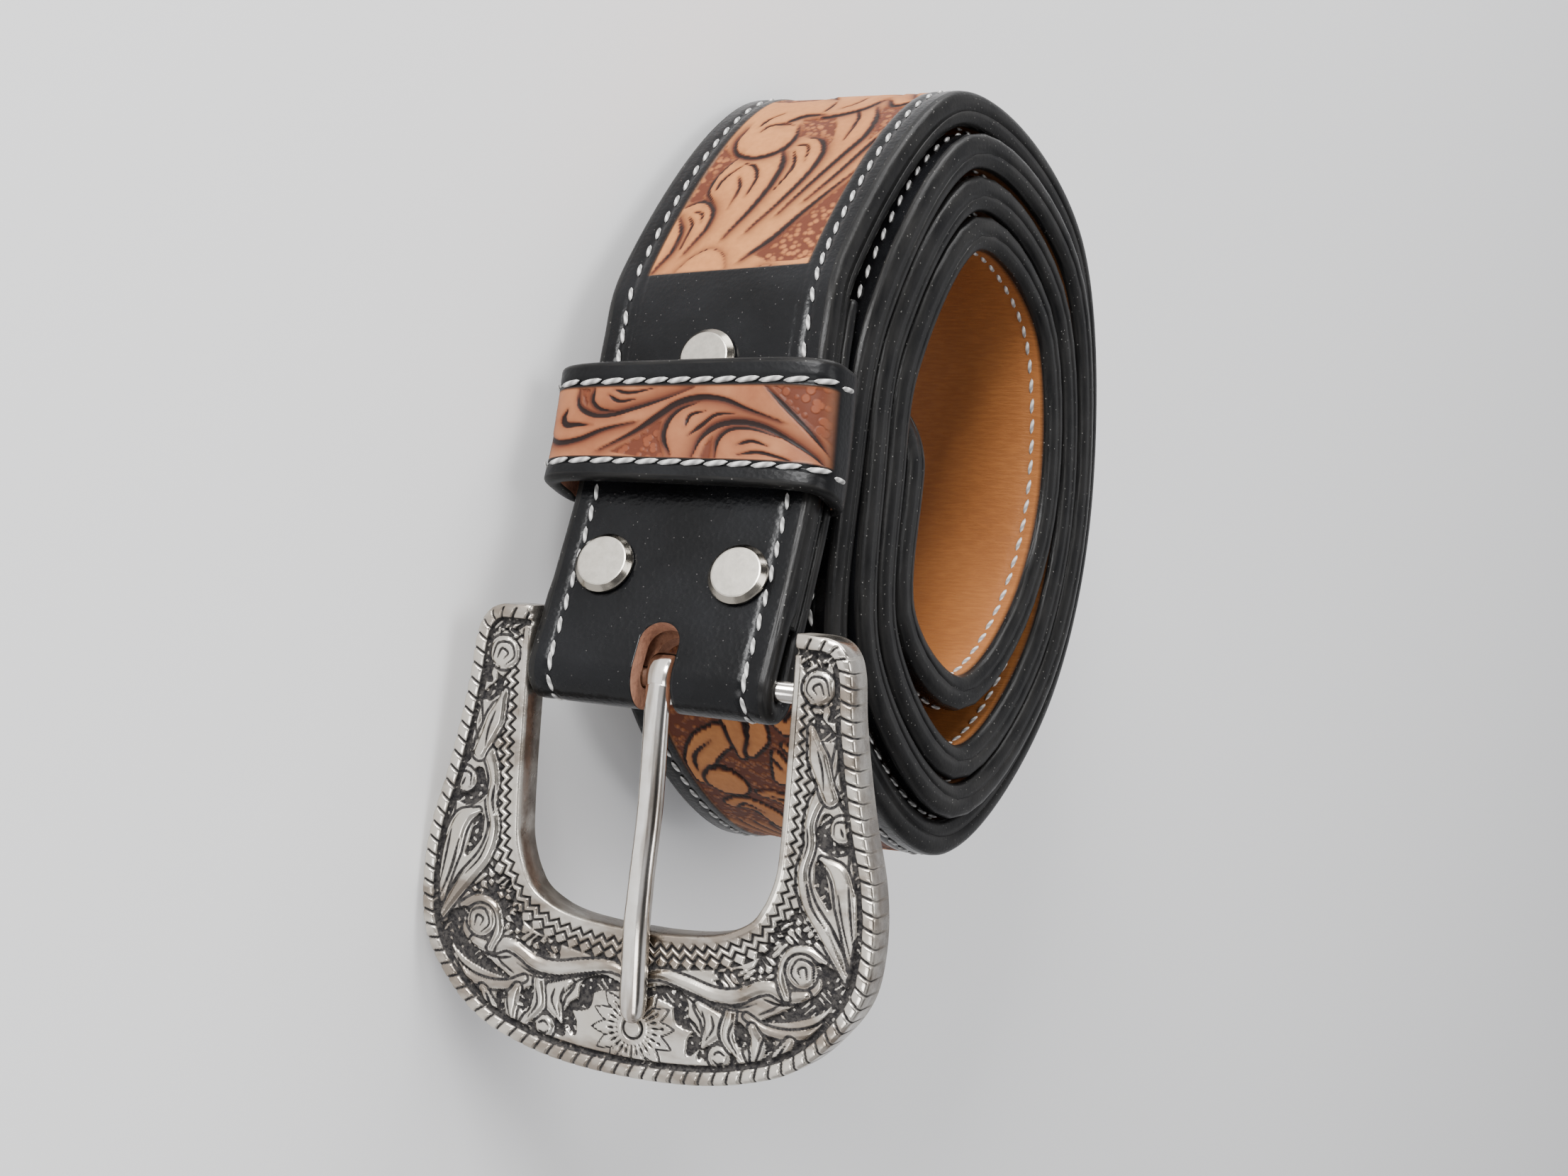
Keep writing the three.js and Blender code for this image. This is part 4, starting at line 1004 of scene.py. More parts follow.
SCRATCHES = (
    ((31.3, -25), (31.9, -29), (32.6, -33)), ((29.9, -26.4), (30.9, -30.6), (32.4, -34.8)),
    ((28.7, -30.2), (30.4, -33), (32.6, -36.6)), ((25.3, -7.2), (26.2, -9.8), (26.6, -12.4)),
    ((28.2, -7.2), (28.4, -9.4), (27.9, -11.8)), ((29.6, -2.5), (29.9, -6), (29.6, -9.5)),
    ((6, -42.6), (10, -43.7), (14, -45.2)), ((9.4, -43.1), (13.6, -44.3), (17.6, -44.4)),
    ((12.6, -43.8), (16.4, -43.9), (19, -42.9)), ((4, -42.9), (8.4, -43.7), (11.3, -46.4)),
    ((19.4, -44.4), (21.4, -43.4), (22.6, -42.4)), ((20, -42.2), (22, -42.6), (24, -42.5)),
    ((20.4, -47.3), (20, -49.4), (19.4, -51.2)), ((23.8, -47.9), (22.8, -49.6), (21.9, -50.8)),
    ((28.4, -47), (27, -48.6), (25.3, -49.6)), ((12.4, -45.6), (12.8, -47.2), (11.8, -49.2)),
    ((15.6, -46), (15.2, -48.2), (16.6, -50.4)), ((10.9, -45.2), (11.4, -46.8), (11.1, -48.6)),
    ((24.6, -18), (24.8, -20), (24.4, -22)), ((25, -25.4), (26.2, -28.6), (28.4, -31.2)),
    ((32.9, -34), (32.9, -38), (31.2, -42)),
    ((26.4, 0.4), (25.6, 2.6), (23.6, 2.7), (22.9, 0.9), (24.2, -0.4)),
    ((25.6, 0.5), (24.9, 1.9), (23.9, 1.3), (24.5, 0.5)),
    ((27.2, -38.9), (26.9, -36.4), (24.8, -35.9), (23.9, -37.9), (25.1, -39.2)),
    ((26.3, -38.4), (25.9, -36.9), (24.9, -37.3), (25.3, -38.3)),
    ((30.8, -18.4), (30.2, -16.5), (28.7, -16.7), (28.6, -18.3)), ((30.0, -18.4), (29.5, -17.3)),
    ((14.8, -50.9), (13.8, -50.5), (13, -51.2)), ((14.6, -52), (13.8, -52.3), (13.1, -51.8)),
)


BUCKLE_ZONES = (
    ((21, -31), (25, -29), (29, -33.5), (24, -35.5), (20, -41.5), (12, -41.5), (12, -39), (18, -38)),
    ((32.8, -20), (35.2, -20), (36, -30), (34.4, -36), (34, -28)),
    ((21, 8.4), (29, 8.4), (28.6, 3.6), (24, 4.4), (21, 3)),
)


def buckle_frame_axes():
    """Bar's middle and the buckle's axes: across, up and out of its front."""
    axis, across, _, down = bar_axis()
    swing = np.array([-math.radians(BUCKLE_SWING)])
    up = turned(-down[None], across[None], swing)[0]
    front = np.cross(across, up)
    return axis + across * BUCKLE_SHIFT, across, up, front


def buckle_marks(field, inner, border, run, edge_run):
    """Engraving: toothed rows beside the window, scrolls, leaves, a flower and a roped border."""
    grains = np.sin(field.x * 3.1 + 2 * np.sin(field.y * 1.7))
    grains = grains * np.sin(field.y * 2.9 + 2 * np.sin(field.x * 1.3))
    lane = smooth((5.1 - inner) / 0.2)
    tooth = np.abs((run / 0.85) % 2 - 1)
    rows = [np.exp(-((inner - at - (tooth - 0.5) * 0.95) / 0.26) ** 2) for at in (2.1, 3.45)]
    zig = np.maximum.reduce([*rows, smooth((inner - 4.0 - (1 - tooth) * 1.0) / 0.15)])
    field.cover(lane, 0.66 - 0.6 * zig)
    field.dark = np.maximum(field.dark * (1 - lane), lane * zig)
    for corner in (-1, 1):
        for points in BUCKLE_ZONES:
            field.zone(np.array(points) * [corner, 1], 0.0)
    low = smooth(0.6 - grains * 2.2)
    field.dark = np.maximum(field.dark, field.ground * low)
    field.height -= field.ground * low * 0.5
    rim = smooth((1.15 - inner) / 0.2)
    field.cover(rim, 0.8)
    field.dark *= 1 - rim
    for corner in (-1, 1):
        half = np.array([corner, 1])
        for points, radii in RIDGES[:4]:
            field.raised(points * half, radii)
        for points, radii in POCKETS:
            field.pocket(points * half, 1.25 * np.array(radii))
        for points, radii in RIDGES[4:] + RIDGES[2:3]:
            field.raised(points * half, radii, 0.92)
        for points in SCRATCHES:
            field.cut(points * half, 0.16, 0.3, 0, 0.2, 0.4, (0.4, 0.25))
    field.dark = np.where((field.ground > 0.9) & (field.dark > 0.9) & (grains > 0.62), 0.1, field.dark)
    # flower under the prong's tip
    rho, theta = np.hypot(field.x - 0.3, field.y + 49.3), np.arctan2(field.y + 49.3, field.x - 0.3)
    d = rho - 5.3 - 1.0 * (2 / np.pi) * np.arcsin(np.sin(14 * theta))
    inside = smooth(0.5 - d / 0.14)
    beam = np.abs((theta / (2 * np.pi) * 26) % 1 - 0.5) * rho * 0.24 + 0.06 * np.sin(rho * 5)
    ends = smooth((rho - 2.3) / 0.3) * smooth((4.6 + np.sin(theta * 11) * 0.5 - rho) / 0.3)
    lines = np.maximum(np.exp(-(beam / 0.12) ** 2) * ends, np.exp(-((rho - 1.5) / 0.17) ** 2))
    field.cover(inside, 0.85 - 0.5 * lines)
    halo = np.exp(-((d - 0.15) / 0.28) ** 2) * (1 - inside)
    field.dark = np.maximum(field.dark * (1 - inside), np.maximum(halo, lines * inside))
    # dark channel and notched rope along the outside
    channel = smooth((3.0 - border) / 0.25)
    field.cover(channel, 0.15 * smooth(grains * 2))
    field.dark = np.maximum(field.dark, channel * (1 - 0.7 * smooth(grains * 3 - 1.2)))
    rope = smooth((2.15 - border) / 0.2)
    bead = 0.35 + 0.7 * np.sqrt(np.clip(1 - ((border - 1.0) / 1.25) ** 2, 0, 1))
    phase = ((edge_run - border * 0.45) / 2.2) % 1
    notch = np.exp(-((np.minimum(phase, 1 - phase) * 2.2) / 0.19) ** 2) * smooth((border - 0.25) / 0.4)
    field.cover(rope, bead - 0.5 * notch)
    field.dark = field.dark * (1 - rope) + np.maximum(notch, np.exp(-((border - 2.15) / 0.2) ** 2)) * rope


def buckle_outlines():
    """Outside and inside of the frame at stations spread evenly along both, from the mirrored table."""
    table = np.array(BUCKLE_HALF, float)
    both = np.vstack([table * [1, -1, 1, -1], table[-2::-1]])
    k = np.linspace(0, len(both) - 1, 4000)
    lines = through(both, k)
    travel = along_run((lines[:, :2] + lines[:, 2:]) / 2) + along_run(lines[:, :2])
    rows = through(both, np.interp(np.linspace(0, travel[-1], BUCKLE_STATIONS), travel, k))
    return rows[:, [1, 0]] * [1, -1], rows[:, [3, 2]] * [1, -1]


def rim_distance(points, rim):
    """Least distance from each point to the line `rim`, and the place along it."""
    flat = points.reshape(-1, 2)
    narrow = flat.astype(np.float32)
    near = np.argmin((narrow[:, :1] - rim[:, 0]) ** 2 + (narrow[:, 1:] - rim[:, 1]) ** 2, 1)
    steps = along_run(rim)
    distance, place = np.full(len(flat), 99.0), np.zeros(len(flat))
    for i in (near - 1, near):
        i = np.clip(i, 0, len(rim) - 2)
        a, ab = rim[i], rim[i + 1] - rim[i]
        t = np.clip(((flat - a) * ab).sum(1) / np.maximum((ab * ab).sum(1), 1e-9), 0, 1)
        d = np.linalg.norm(flat - a - ab * t[:, None], axis=1)
        place = np.where(d < distance, steps[i] + t * (steps[i + 1] - steps[i]), place)
        distance = np.minimum(distance, d)
    return distance.reshape(points.shape[:2]), place.reshape(points.shape[:2])


def buckle_piece():
    """Frame swept along a U: at each station a ring runs across the front and round the back.

    The front's height is a low arch plus the engraving's height. Its edges turn down over quarter
    ellipses, and the back is nearly flat with turned edges.
    """
    origin, across, up, front = buckle_frame_axes()
    outside, inside = buckle_outlines()
    width = np.linalg.norm(outside - inside, axis=1)[:, None]
    way = (outside - inside) / width
    q = np.linspace(0, 1, BUCKLE_COLUMNS)
    inner = BUCKLE_INSET + q * (width - 2 * BUCKLE_INSET)
    way = way[:, None]
    face = inside[:, None] + way * inner[..., None]
    # the outline with its top edges, where the arms end
    rim = np.vstack([[[-20.6, 8.4]], outside[::2], [[20.6, 8.4]]])
    border, edge_run = rim_distance(face, rim)
    field = Carving(face[..., 0].copy(), face[..., 1].copy(), 0.6)
    buckle_marks(field, inner, border, along_run(inside)[:, None], edge_run)
    z = 2.4 + 0.25 * np.sin(np.pi * q) + np.clip(field.height, -0.3, 1.05)
    t = np.linspace(0, 1, 6)[1:] * np.pi / 2
    turn_in = way * (BUCKLE_INSET * (1 - np.sin(t)))[None, :, None]
    drop = 0.8 * (1 - np.cos(t))
    outside, inside = outside[:, None], inside[:, None]
    back_outer, back_inner = outside - way * 0.7, inside + way * 0.7
    flat = np.concatenate([face, outside - turn_in, outside, back_outer, (back_outer + back_inner) / 2,
                           back_inner, inside, (inside + turn_in)[:, ::-1]], 1)
    back_z = np.tile([-1.7, -2.4, -2.2, -2.4, -1.7], (BUCKLE_STATIONS, 1))
    z = np.hstack([z, z[:, -1:] - drop, back_z, (z[:, :1] - drop)[:, ::-1]])
    points, faces = tube_mesh(origin + flat[..., :1] * across + flat[..., 1:] * up + z[..., None] * front)
    dark = np.full(z.shape, 0.12)
    dark[:, :BUCKLE_COLUMNS] = np.clip(field.dark, 0, 1)
    dark[:, BUCKLE_COLUMNS:BUCKLE_COLUMNS + 5] = field.dark[:, -1:] * 0.9
    return put_mesh("buckle_engraved_frame", points, facing_out(points, faces),
                    marks={"dark": np.append(dark.ravel(), [0.3, 0.3])}, material=antique_silver())


def bar_piece():
    """Round bar between the arms."""
    origin, across, up, front = buckle_frame_axes()
    a = np.linspace(0, 2 * np.pi, 32, endpoint=False)
    ends = np.array([-24.0, -23.7, 23.7, 24.0])
    r = np.array([1.2, 1.5, 1.5, 1.2])
    spokes = up * np.cos(a)[:, None] + front * np.sin(a)[:, None]
    points, faces = tube_mesh(origin + across * ends[:, None, None] + spokes * r[:, None, None])
    return put_mesh("buckle_round_bar", points, facing_out(points, faces), material=polished_nickel())


PRONG_LENGTH, PRONG_EYE = 48.0, 2.75
PRONG_ROWS = (
    # down as a share of the length, height, thickness, width
    (0.010, 2.75, 1.9, 3.8), (0.110, 2.80, 2.4, 3.8), (0.340, 3.12, 2.8, 3.8), (0.600, 4.75, 2.8, 3.8),
    (0.755, 5.37, 2.8, 4.0), (0.900, 5.30, 2.8, 4.0), (0.960, 5.26, 2.6, 3.7), (0.988, 5.2, 2.0, 2.7),
    (1.000, 5.1, 1.0, 1.2),
)


def prong_piece():
    """Prong: a band round the bar and a shank, rounded in section, that rests on the frame."""
    origin, across, up, front = buckle_frame_axes()
    skew = math.radians(1.2)
    side = across * math.cos(skew) + up * math.sin(skew)
    rise = up * math.cos(skew) - across * math.sin(skew)
    origin = origin + across * 0.1
    rows = through(np.array(PRONG_ROWS), np.linspace(0, len(PRONG_ROWS) - 1, 90))
    y, z = -rows[:, 0] * PRONG_LENGTH, rows[:, 1]
    along = unit(np.column_stack([np.gradient(y), np.gradient(z)]))
    a = np.linspace(0, 2 * np.pi, 28, endpoint=False)
    u = rows[:, 3:4] / 2 * signed_power(np.cos(a), 0.92)
    n = rows[:, 2:3] / 2 * signed_power(np.sin(a), 0.92)
    py, pz = y[:, None] + along[:, 1:] * n, z[:, None] - along[:, :1] * n
    u, py, pz = u[..., None], py[..., None], pz[..., None]
    shank, shank_faces = tube_mesh(origin + side * u + rise * py + front * pz)
    turn = np.linspace(0, 2 * np.pi, 64, endpoint=False)
    t = np.linspace(0, 2 * np.pi, 20, endpoint=False)
    w, r = 1.9 * signed_power(np.cos(t), 0.6), PRONG_EYE + 0.95 * signed_power(np.sin(t), 0.7)
    eye = (origin + side * w[None, :, None] + rise * (np.cos(turn)[:, None] * r)[..., None]
           + front * (np.sin(turn)[:, None] * r)[..., None]).reshape(-1, 3)
    eye_faces = np.array(facing_out(eye, grid_faces(64, 20, around=True, along=True).tolist()))
    uv = np.vstack([np.column_stack([np.repeat(y, 28), u.ravel()]), [[y[0], 0], [y[-1], 0]],
                    np.column_stack([np.repeat(turn * PRONG_EYE, 20), np.tile(w, 64)])])
    faces = [*facing_out(shank, shank_faces), *(eye_faces + len(shank)).tolist()]
    return put_mesh("prong_polished", np.vstack([shank, eye]), faces, uv, material=polished_nickel())


# Keeper

KEEPER_ROWS = 420


def keeper_path():
    """Lengths, points and tangents of the loop's middle line: a superellipse at even spacing."""
    a = np.linspace(0, 2 * np.pi, 6000) - np.pi / 2
    power = 0.42
    u = 21.7 * signed_power(np.cos(a), power)
    s = signed_power(np.sin(a), power)
    n = 0.4 + np.where(s > 0, 6.05, 6.15) * s
    run = along_run(np.column_stack([u, n]))
    even = np.linspace(0, run[-1], KEEPER_ROWS, endpoint=False)
    path = np.column_stack([np.interp(even, run, u), np.interp(even, run, n)])
    return even, path, unit(np.roll(path, -2, 0) - np.roll(path, 2, 0))


def keeper_piece():
    """Keeper: a rounded section of leather carried round the strap, thinner behind it."""
    run, path, tangent = keeper_path()
    u, n = path.T
    normal = np.column_stack([tangent[:, 1], -tangent[:, 0]])
    thick = 1.3 - 0.6 * smooth((0.0 - n) / 4.0)
    columns = 91
    v = np.linspace(-KEEPER_HALF, KEEPER_HALF, columns)
    corner = np.linspace(0, np.pi, 13)[1:-1]
    side_v = KEEPER_HALF + 0.9 * np.sin(corner) ** 0.8
    height = np.concatenate([v, side_v, [KEEPER_HALF, 0, -KEEPER_HALF], -side_v[::-1]])
    depth_in = np.concatenate([np.ones(columns), np.cos(corner), [-1, -1, -1], np.cos(corner)[::-1]])
    front = smooth((n - 3.0) / 2.0)[:, None]
    # the front runs from right to left, so lengths are counted back from its middle
    x = np.interp(0.0, u[n > 4][::-1], run[n > 4][::-1]) - run
    field = Carving(np.repeat(x[:, None], columns, 1), np.repeat(v[None], KEEPER_ROWS, 0))
    for points, width, side in KEEPER_CUTS:
        field.cut(np.array(points) - [1.5, 1], width, side=side)
    for points in KEEPER_ZONES:
        field.zone(np.array(points) - [1.5, 1])
    tan = smooth((5.6 - np.abs(v)) / 0.2) * front
    channel = -0.3 * np.exp(-((np.abs(v) - KEEPER_STITCH) / 0.5) ** 2) * front
    top = np.zeros((KEEPER_ROWS, len(height)))
    top[:, :columns] = np.minimum(tan * (np.clip(field.height, -1.1, 0.1) * 0.5 - 0.1) + channel, 0)
    offset = depth_in * thick[:, None] + top
    at, across, out, _ = LINE.above(KEEPER_MIDDLE + height)
    across_at = u[:, None] + normal[:, :1] * offset + KEEPER_SHIFT
    out_at = n[:, None] + normal[:, 1:] * offset
    points = (at + across * across_at[..., None] + out * out_at[..., None]).reshape(-1, 3)
    marks = {}
    for key, values in (("tan", tan), ("dark", field.dark * tan), ("ground", field.ground * tan)):
        whole = np.zeros((KEEPER_ROWS, len(height)))
        whole[:, :columns] = values
        marks[key] = whole.ravel()
    column = np.tile(np.arange(len(height)), KEEPER_ROWS)
    inside = columns + len(corner) - 1
    kinds = np.where(column < columns - 1, 0, np.where((column >= inside) & (column < inside + 4), 2, 1))
    uv = np.stack(np.broadcast_arrays(run[:, None], height[None]), -1).reshape(-1, 2)
    faces = facing_out(points, grid_faces(KEEPER_ROWS, len(height), around=True, along=True).tolist())
    return put_mesh("keeper_leather", points, faces, uv, marks, True,
                    [keeper_face(), edge_leather(), raw_leather()], kinds)


def keeper_stitches():
    """Thick stitches on both borders, along the front and round its sides."""
    run, path, tangent = keeper_path()
    picks = np.arange(1.0, run[-1], 3.65)
    picks = picks[np.interp(picks, run, path[:, 1]) > 1.0]
    (px, pn), (tx, tn) = ([np.interp(picks, run, line) for line in rows.T] for rows in (path, tangent))
    flip = np.where(-tx + tn * np.sign(px) < 0, -1.0, 1.0)
    nx, nn = tn * flip, -tx * flip
    sets = []
    for side in (-1, 1):
        at, across, out, down = (w[0] for w in LINE.above(np.array([KEEPER_MIDDLE + side * KEEPER_STITCH])))
        centre = at + across * (px + nx * 1.22 + KEEPER_SHIFT)[:, None] + out * (pn + nn * 1.22)[:, None]
        along = across * tx[:, None] + out * tn[:, None]
        outward = across * nx[:, None] + out * nn[:, None]
        sets.append(stitch_bodies(centre, along, np.repeat(down[None], len(px), 0), outward, 3.7, 0.82, 0.42,
                                  slant=0.14))
    return put_mesh("keeper_stitches", *join_sets(sets), material=thread())


# Screws

def screw_piece(name, above, aside):
    """Screw: spun profile with a flat head, a chamfered rim marked for painted shade, and the barrel behind
    it.
    """
    at, across, out, down = (v[0] for v in LINE.above([above]))
    at = at + across * aside
    under, back = FACE + GAP, -5.05
    corners = np.array([
        (0.01, under + 1.3), (2.0, under + 1.3), (3.55, under + 1.28), (3.75, under + 1.22),
        (4.35, under + 0.62), (4.5, under + 0.45), (4.5, under + 0.08), (4.4, under), (2.2, under),
        (2.2, back), (3.7, back), (3.85, back - 0.3), (3.6, back - 0.85), (0.01, back - 0.9)])
    step = np.diff(corners, axis=0)
    hold = np.minimum(0.04 / np.linalg.norm(step, axis=1, keepdims=True), 0.3)
    profile = np.stack([corners[:-1], corners[:-1] + step * hold, corners[1:] - step * hold], 1)
    profile = profile.reshape(-1, 2)
    profile = np.vstack([profile[1:], corners[-1:]])
    a = np.linspace(0, 2 * np.pi, 72, endpoint=False)
    spokes = across * np.cos(a)[:, None] + down * np.sin(a)[:, None]
    points, faces = tube_mesh(at + spokes * profile[:, 0, None, None] + out * profile[:, 1, None, None])
    # Mark for painted shade on the head's chamfer and rim.
    head_rim_shade = np.append(np.repeat(((profile[:, 0] > 3.72) & (profile[:, 1] > 0)).astype(float), 72), [0, 0])
    return put_mesh(name, points, facing_out(points, faces), marks={"head_rim_shade": head_rim_shade},
                    material=brushed_screw())


# Stage

def put_floor(scene):
    """Wide pale floor."""
    mesh = bpy.data.meshes.new("floor")
    s = 3.0
    mesh.from_pydata([(-s, -s, 0), (s, -s, 0), (s, s, 0), (-s, s, 0)], [], [(0, 1, 2, 3)])
    n = Nodes("pale_floor")
    mesh.materials.append(n.finish(Base_Color=(0.88, 0.88, 0.88), Roughness=0.95, Specular_IOR_Level=0.1))
    floor = bpy.data.objects.new("floor", mesh)
    scene.collection.objects.link(floor)


def frame_at(x, y, z, place):
    """Matrix of an object from its three axes and its place."""
    return Matrix([[x[i], y[i], z[i], place[i]] for i in range(3)] + [[0, 0, 0, 1]])


def put_camera(scene):
    """Camera at the photograph's angle; gives its ways right, down and ahead in the floor's frame."""
    turn = np.array([[0.8720, 0.4881, 0.0377], [0.0501, -0.0123, -0.9987], [-0.4869, 0.8727, -0.0351]])
    right, down, ahead = unit(turn @ FLOOR_TURN.T)
    camera = bpy.data.cameras.new("camera")
    camera.sensor_width, camera.lens = 36.0, 59.0
    camera.clip_start = 0.01
    view = bpy.data.objects.new("camera", camera)
    view.matrix_world = frame_at(right, -down, -ahead, floor_place(np.array([191.1, -368.9, -3.2])))
    scene.collection.objects.link(view)
    scene.camera = view
    return right, down, ahead


def put_lamps(scene, right, down, ahead):
    """Four soft lamps round the belt, each turned towards it."""
    aim = np.array([0.0, -0.01, 0.03])
    # name, right, up, towards the camera, size, power
    for name, r, u, t, size, power in (("key", -0.5, 0.7, 0.5, 0.4, 19.0),
                                       ("fill", 0.75, 0.15, 0.75, 0.5, 5.0),
                                       ("top", 0.15, 0.9, -0.15, 0.6, 10.0),
                                       ("low", -0.6, -0.3, 0.7, 0.3, 2.5)):
        lamp = bpy.data.lights.new(name, "AREA")
        lamp.size, lamp.energy = size, power * scene.belt_sizes.light
        obj = bpy.data.objects.new(name, lamp)
        place = aim + right * r - down * u - ahead * t
        place[2] = max(place[2], 0.25)
        back = unit(place - aim)
        side = unit(np.cross([0.0, 0.0, 1.0] if abs(back[2]) < 0.95 else [1.0, 0.0, 0.0], back))
        obj.matrix_world = frame_at(side, np.cross(back, side), back, place)
        scene.collection.objects.link(obj)


def put_sky(scene):
    """Broad soft bands of light and shade high round the set, for the metal to mirror."""
    world = bpy.data.worlds.new("soft_sky")
    world.use_nodes = True
    nodes, links = world.node_tree.nodes, world.node_tree.links
    coord, wave, ramp, parts, rise, mix = (nodes.new("ShaderNode" + kind) for kind in (
        "TexCoord", "TexWave", "ValToRGB", "SeparateXYZ", "MapRange", "Mix"))
    wave.bands_direction = "DIAGONAL"
    for spot, value in (("Scale", 0.32), ("Distortion", 1.2), ("Detail", 0.0)):
        wave.inputs[spot].default_value = value
    dim, bright = ramp.color_ramp.elements
    dim.position, dim.color = 0.25, (0.10, 0.10, 0.105, 1)
    bright.position, bright.color = 0.7, (0.95, 0.96, 1.0, 1)
    links.new(coord.outputs["Generated"], wave.inputs["Vector"])
    links.new(wave.outputs[1], ramp.inputs[0])
    # plain near the horizon, where the surroundings are seen behind the belt
    mix.data_type = "RGBA"
    mix.inputs[6].default_value = (0.75, 0.75, 0.77, 1)
    rise.inputs["From Min"].default_value, rise.inputs["From Max"].default_value = 0.35, 0.6
    links.new(coord.outputs["Generated"], parts.inputs[0])
    links.new(parts.outputs[2], rise.inputs["Value"])
    links.new(rise.outputs[0], mix.inputs[0])
    links.new(ramp.outputs[0], mix.inputs[7])
    links.new(mix.outputs[2], nodes["Background"].inputs[0])
    nodes["Background"].inputs[1].default_value = 0.8
    scene.world = world


# Settings, operators and panel

def colour(name, what, value):
    return bpy.props.FloatVectorProperty(name=name, description=what, subtype="COLOR", size=3, min=0, max=1,
                                         default=value)


class BeltColours(bpy.types.PropertyGroup):
    """Dyes, finishes and thread."""
    black: colour("Black", "Black dye of margins and chape", (0.0022, 0.0022, 0.0025))
    black_worn: colour("Worn black", "Black dye where it has paled", (0.006, 0.0062, 0.007))
    edge: colour("Edge", "Burnished edge where it has paled", (0.015, 0.0143, 0.0135))
    tan_light: colour("Light tan", "Carved leaves", (0.43, 0.178, 0.058))
    tan_deep: colour("Deep tan", "Carved leaves in shade", (0.35, 0.128, 0.043))
    # Brown: the antique stain, and also the painted shade beside the knife cuts.
    tan_brown: colour("Brown", "Antique stain beside the cuts", (0.085, 0.022, 0.010))
    knife: colour("Knife cut", "Bottom of the knife cuts", (0.010, 0.004, 0.003))
    keeper: colour("Keeper tan", "Carved leaves of the keeper", (0.31, 0.125, 0.055))
    keeper_deep: colour("Keeper stain", "Antique stain of the keeper", (0.18, 0.052, 0.022))
    lining: colour("Lining", "Smooth lining", (0.36, 0.142, 0.042))
    lining_deep: colour("Deep lining", "Lining where it is darker", (0.24, 0.082, 0.022))
    raw: colour("Raw leather", "Undyed flesh side", (0.40, 0.19, 0.115))
    thread: colour("Thread", "Waxed thread", (0.60, 0.59, 0.57))
    thread_shade: colour("Thread shade", "Between the strands", (0.22, 0.215, 0.21))
    silver: colour("Silver", "Raised metal", (0.60, 0.565, 0.51))
    silver_warm: colour("Warm silver", "Raised metal with a warm cast", (0.52, 0.46, 0.37))
    recess: colour("Recess", "Antique black in the engraving", (0.012, 0.011, 0.012))
    # Smoke is also the colour of the painted reflection streaks on the polished nickel.
    smoke: colour("Smoke", "Brown antique haze on raised metal", (0.16, 0.115, 0.08))
    nickel: colour("Nickel", "Polished nickel", (0.83, 0.80, 0.76))


class BeltSizes(bpy.types.PropertyGroup):
    """Stitching and light."""
    stitch_pitch: bpy.props.FloatProperty(name="Stitch pitch", description="Distance between stitches",
                                          unit="LENGTH", default=0.0036)
    light: bpy.props.FloatProperty(name="Light", description="Strength of the soft lights", default=1.0,
                                   min=0)


class BELT_OT_stage(bpy.types.Operator):
    """Floor, soft lights and the camera"""
    bl_idname, bl_label = "belt.stage", "Stage"

    def execute(self, context):
        scene = context.scene
        put_floor(scene)
        right, down, ahead = put_camera(scene)
        put_lamps(scene, right, down, ahead)
        put_sky(scene)
        return {"FINISHED"}


class BELT_OT_strap(bpy.types.Operator):
    """Carved outer leather, with the chape folded round the bar"""
    bl_idname, bl_label = "belt.strap", "Strap"

    def execute(self, context):
        for piece, nodes in ((strap_piece(), ("strap",)), (chape_piece(), FOLD_NODES)):
            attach(piece, "belt")
            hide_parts(*nodes)
        return {"FINISHED"}


class BELT_OT_lining(bpy.types.Operator):
    """Smooth caramel lining"""
    bl_idname, bl_label = "belt.lining", "Lining"

    def execute(self, context):
        piece = lining_piece()
        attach(piece, "belt")
        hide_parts("strap_lining")
        return {"FINISHED"}


class BELT_OT_stitches(bpy.types.Operator):
    """White stitching on the strap's face, lining and folded-back end"""
    bl_idname, bl_label = "belt.stitches", "Stitches"

    def execute(self, context):
        pitch = context.scene.belt_sizes.stitch_pitch / MM
        front = np.arange(0.9, LINE.total - 24, pitch)
        # sunk deeper in the hidden windings, where the strap is built in longer steps
        lift = np.where(front < PANEL_END + 335, -0.10, -0.22)
        behind = np.arange(2.5, FOLD_BACK - 3, pitch)
        at, across, out, down = LINE.above(behind)
        sets = [stitch_rows(LINE.above(front), FACE, lift),
                stitch_rows(round_bar(np.radians(np.arange(12, 180, 40.0))), FOLD_FAR, -0.16, length=2.7),
                stitch_rows((at, across, -out, -down), behind_faces(behind)[1], -0.12)]
        face = put_mesh("face_stitches", *join_sets(sets), material=thread())
        at, across, out, down = LINE.at(np.arange(24, LINE.total - LINING_STOP - 3, pitch))
        inner = stitch_rows((at, across, -out, down), BACK, -0.12, width=0.7)
        lining = put_mesh("lining_stitches", *inner, material=thread())
        for piece in (face, lining):
            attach(piece, "belt")
        return {"FINISHED"}


class BELT_OT_keeper(bpy.types.Operator):
    """Keeper loop with its thick stitching"""
    bl_idname, bl_label = "belt.keeper", "Keeper"

    def execute(self, context):
        loop = keeper_piece()
        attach(loop, "belt")
        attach(keeper_stitches(), "belt")
        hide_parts("keeper_loop")
        return {"FINISHED"}


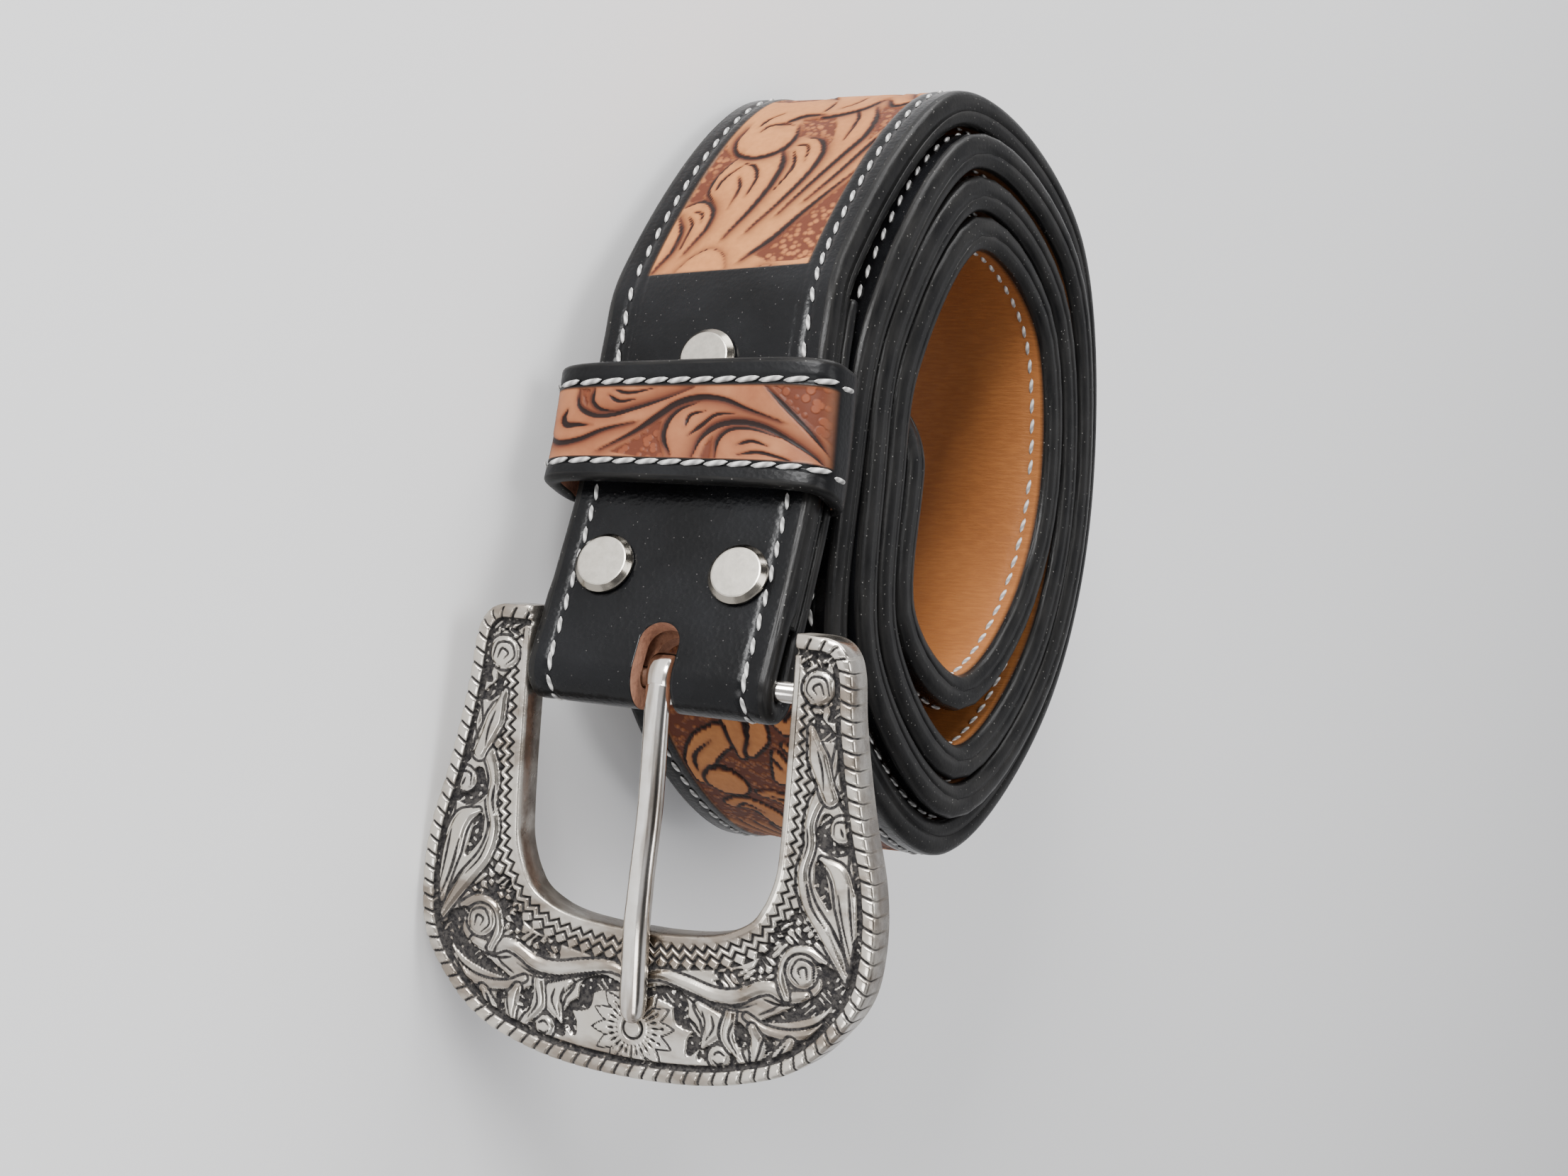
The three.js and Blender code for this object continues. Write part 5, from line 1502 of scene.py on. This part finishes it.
class BELT_OT_screws(bpy.types.Operator):
    """Three flat-headed screws through the chape"""
    bl_idname, bl_label = "belt.screws", "Screws"

    def execute(self, context):
        for node, above, aside in (("screw_top", BAR_BELOW + TOP_SCREW, 0.0),
                                   ("screw_left", BAR_BELOW, -SCREW_SPREAD / 2),
                                   ("screw_right", BAR_BELOW, SCREW_SPREAD / 2)):
            piece = screw_piece(node + "_spun", above, aside)
            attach(piece, "belt")
            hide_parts(node)
        return {"FINISHED"}


class BELT_OT_buckle(bpy.types.Operator):
    """Engraved buckle frame and its bar"""
    bl_idname, bl_label = "belt.buckle", "Buckle"

    def execute(self, context):
        for piece, node, slot in ((buckle_piece(), "buckle_frame", "antique_silver"),
                                  (bar_piece(), "buckle_bar", "polished_nickel")):
            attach(piece, "buckle")
            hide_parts(node)
        return {"FINISHED"}


class BELT_OT_prong(bpy.types.Operator):
    """Polished prong"""
    bl_idname, bl_label = "belt.prong", "Prong"

    def execute(self, context):
        piece = prong_piece()
        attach(piece, "prong")
        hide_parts("prong")
        return {"FINISHED"}


class BELT_PT_panel(bpy.types.Panel):
    """Belt pieces in the sidebar"""
    bl_label, bl_idname = "Belt", "BELT_PT_panel"
    bl_space_type, bl_region_type, bl_category = "VIEW_3D", "UI", "Belt"

    def draw(self, context):
        for operator in OPERATORS:
            self.layout.operator(operator.bl_idname)
        for key in BeltSizes.__annotations__:
            self.layout.prop(context.scene.belt_sizes, key)
        for key in BeltColours.__annotations__:
            self.layout.prop(context.scene.belt_colours, key)


OPERATORS = (BELT_OT_stage, BELT_OT_strap, BELT_OT_lining, BELT_OT_stitches, BELT_OT_keeper, BELT_OT_screws,
             BELT_OT_buckle, BELT_OT_prong)
CLASSES = (BeltColours, BeltSizes, *OPERATORS, BELT_PT_panel)


def register():
    for item in CLASSES:
        bpy.utils.register_class(item)
    bpy.types.Scene.belt_colours = bpy.props.PointerProperty(type=BeltColours)
    bpy.types.Scene.belt_sizes = bpy.props.PointerProperty(type=BeltSizes)


def unregister():
    del bpy.types.Scene.belt_sizes
    del bpy.types.Scene.belt_colours
    for item in reversed(CLASSES):
        bpy.utils.unregister_class(item)


def main():
    register()
    for operator in OPERATORS:
        group, name = operator.bl_idname.split(".")
        getattr(getattr(bpy.ops, group), name)()


if __name__ == "__main__":
    main()
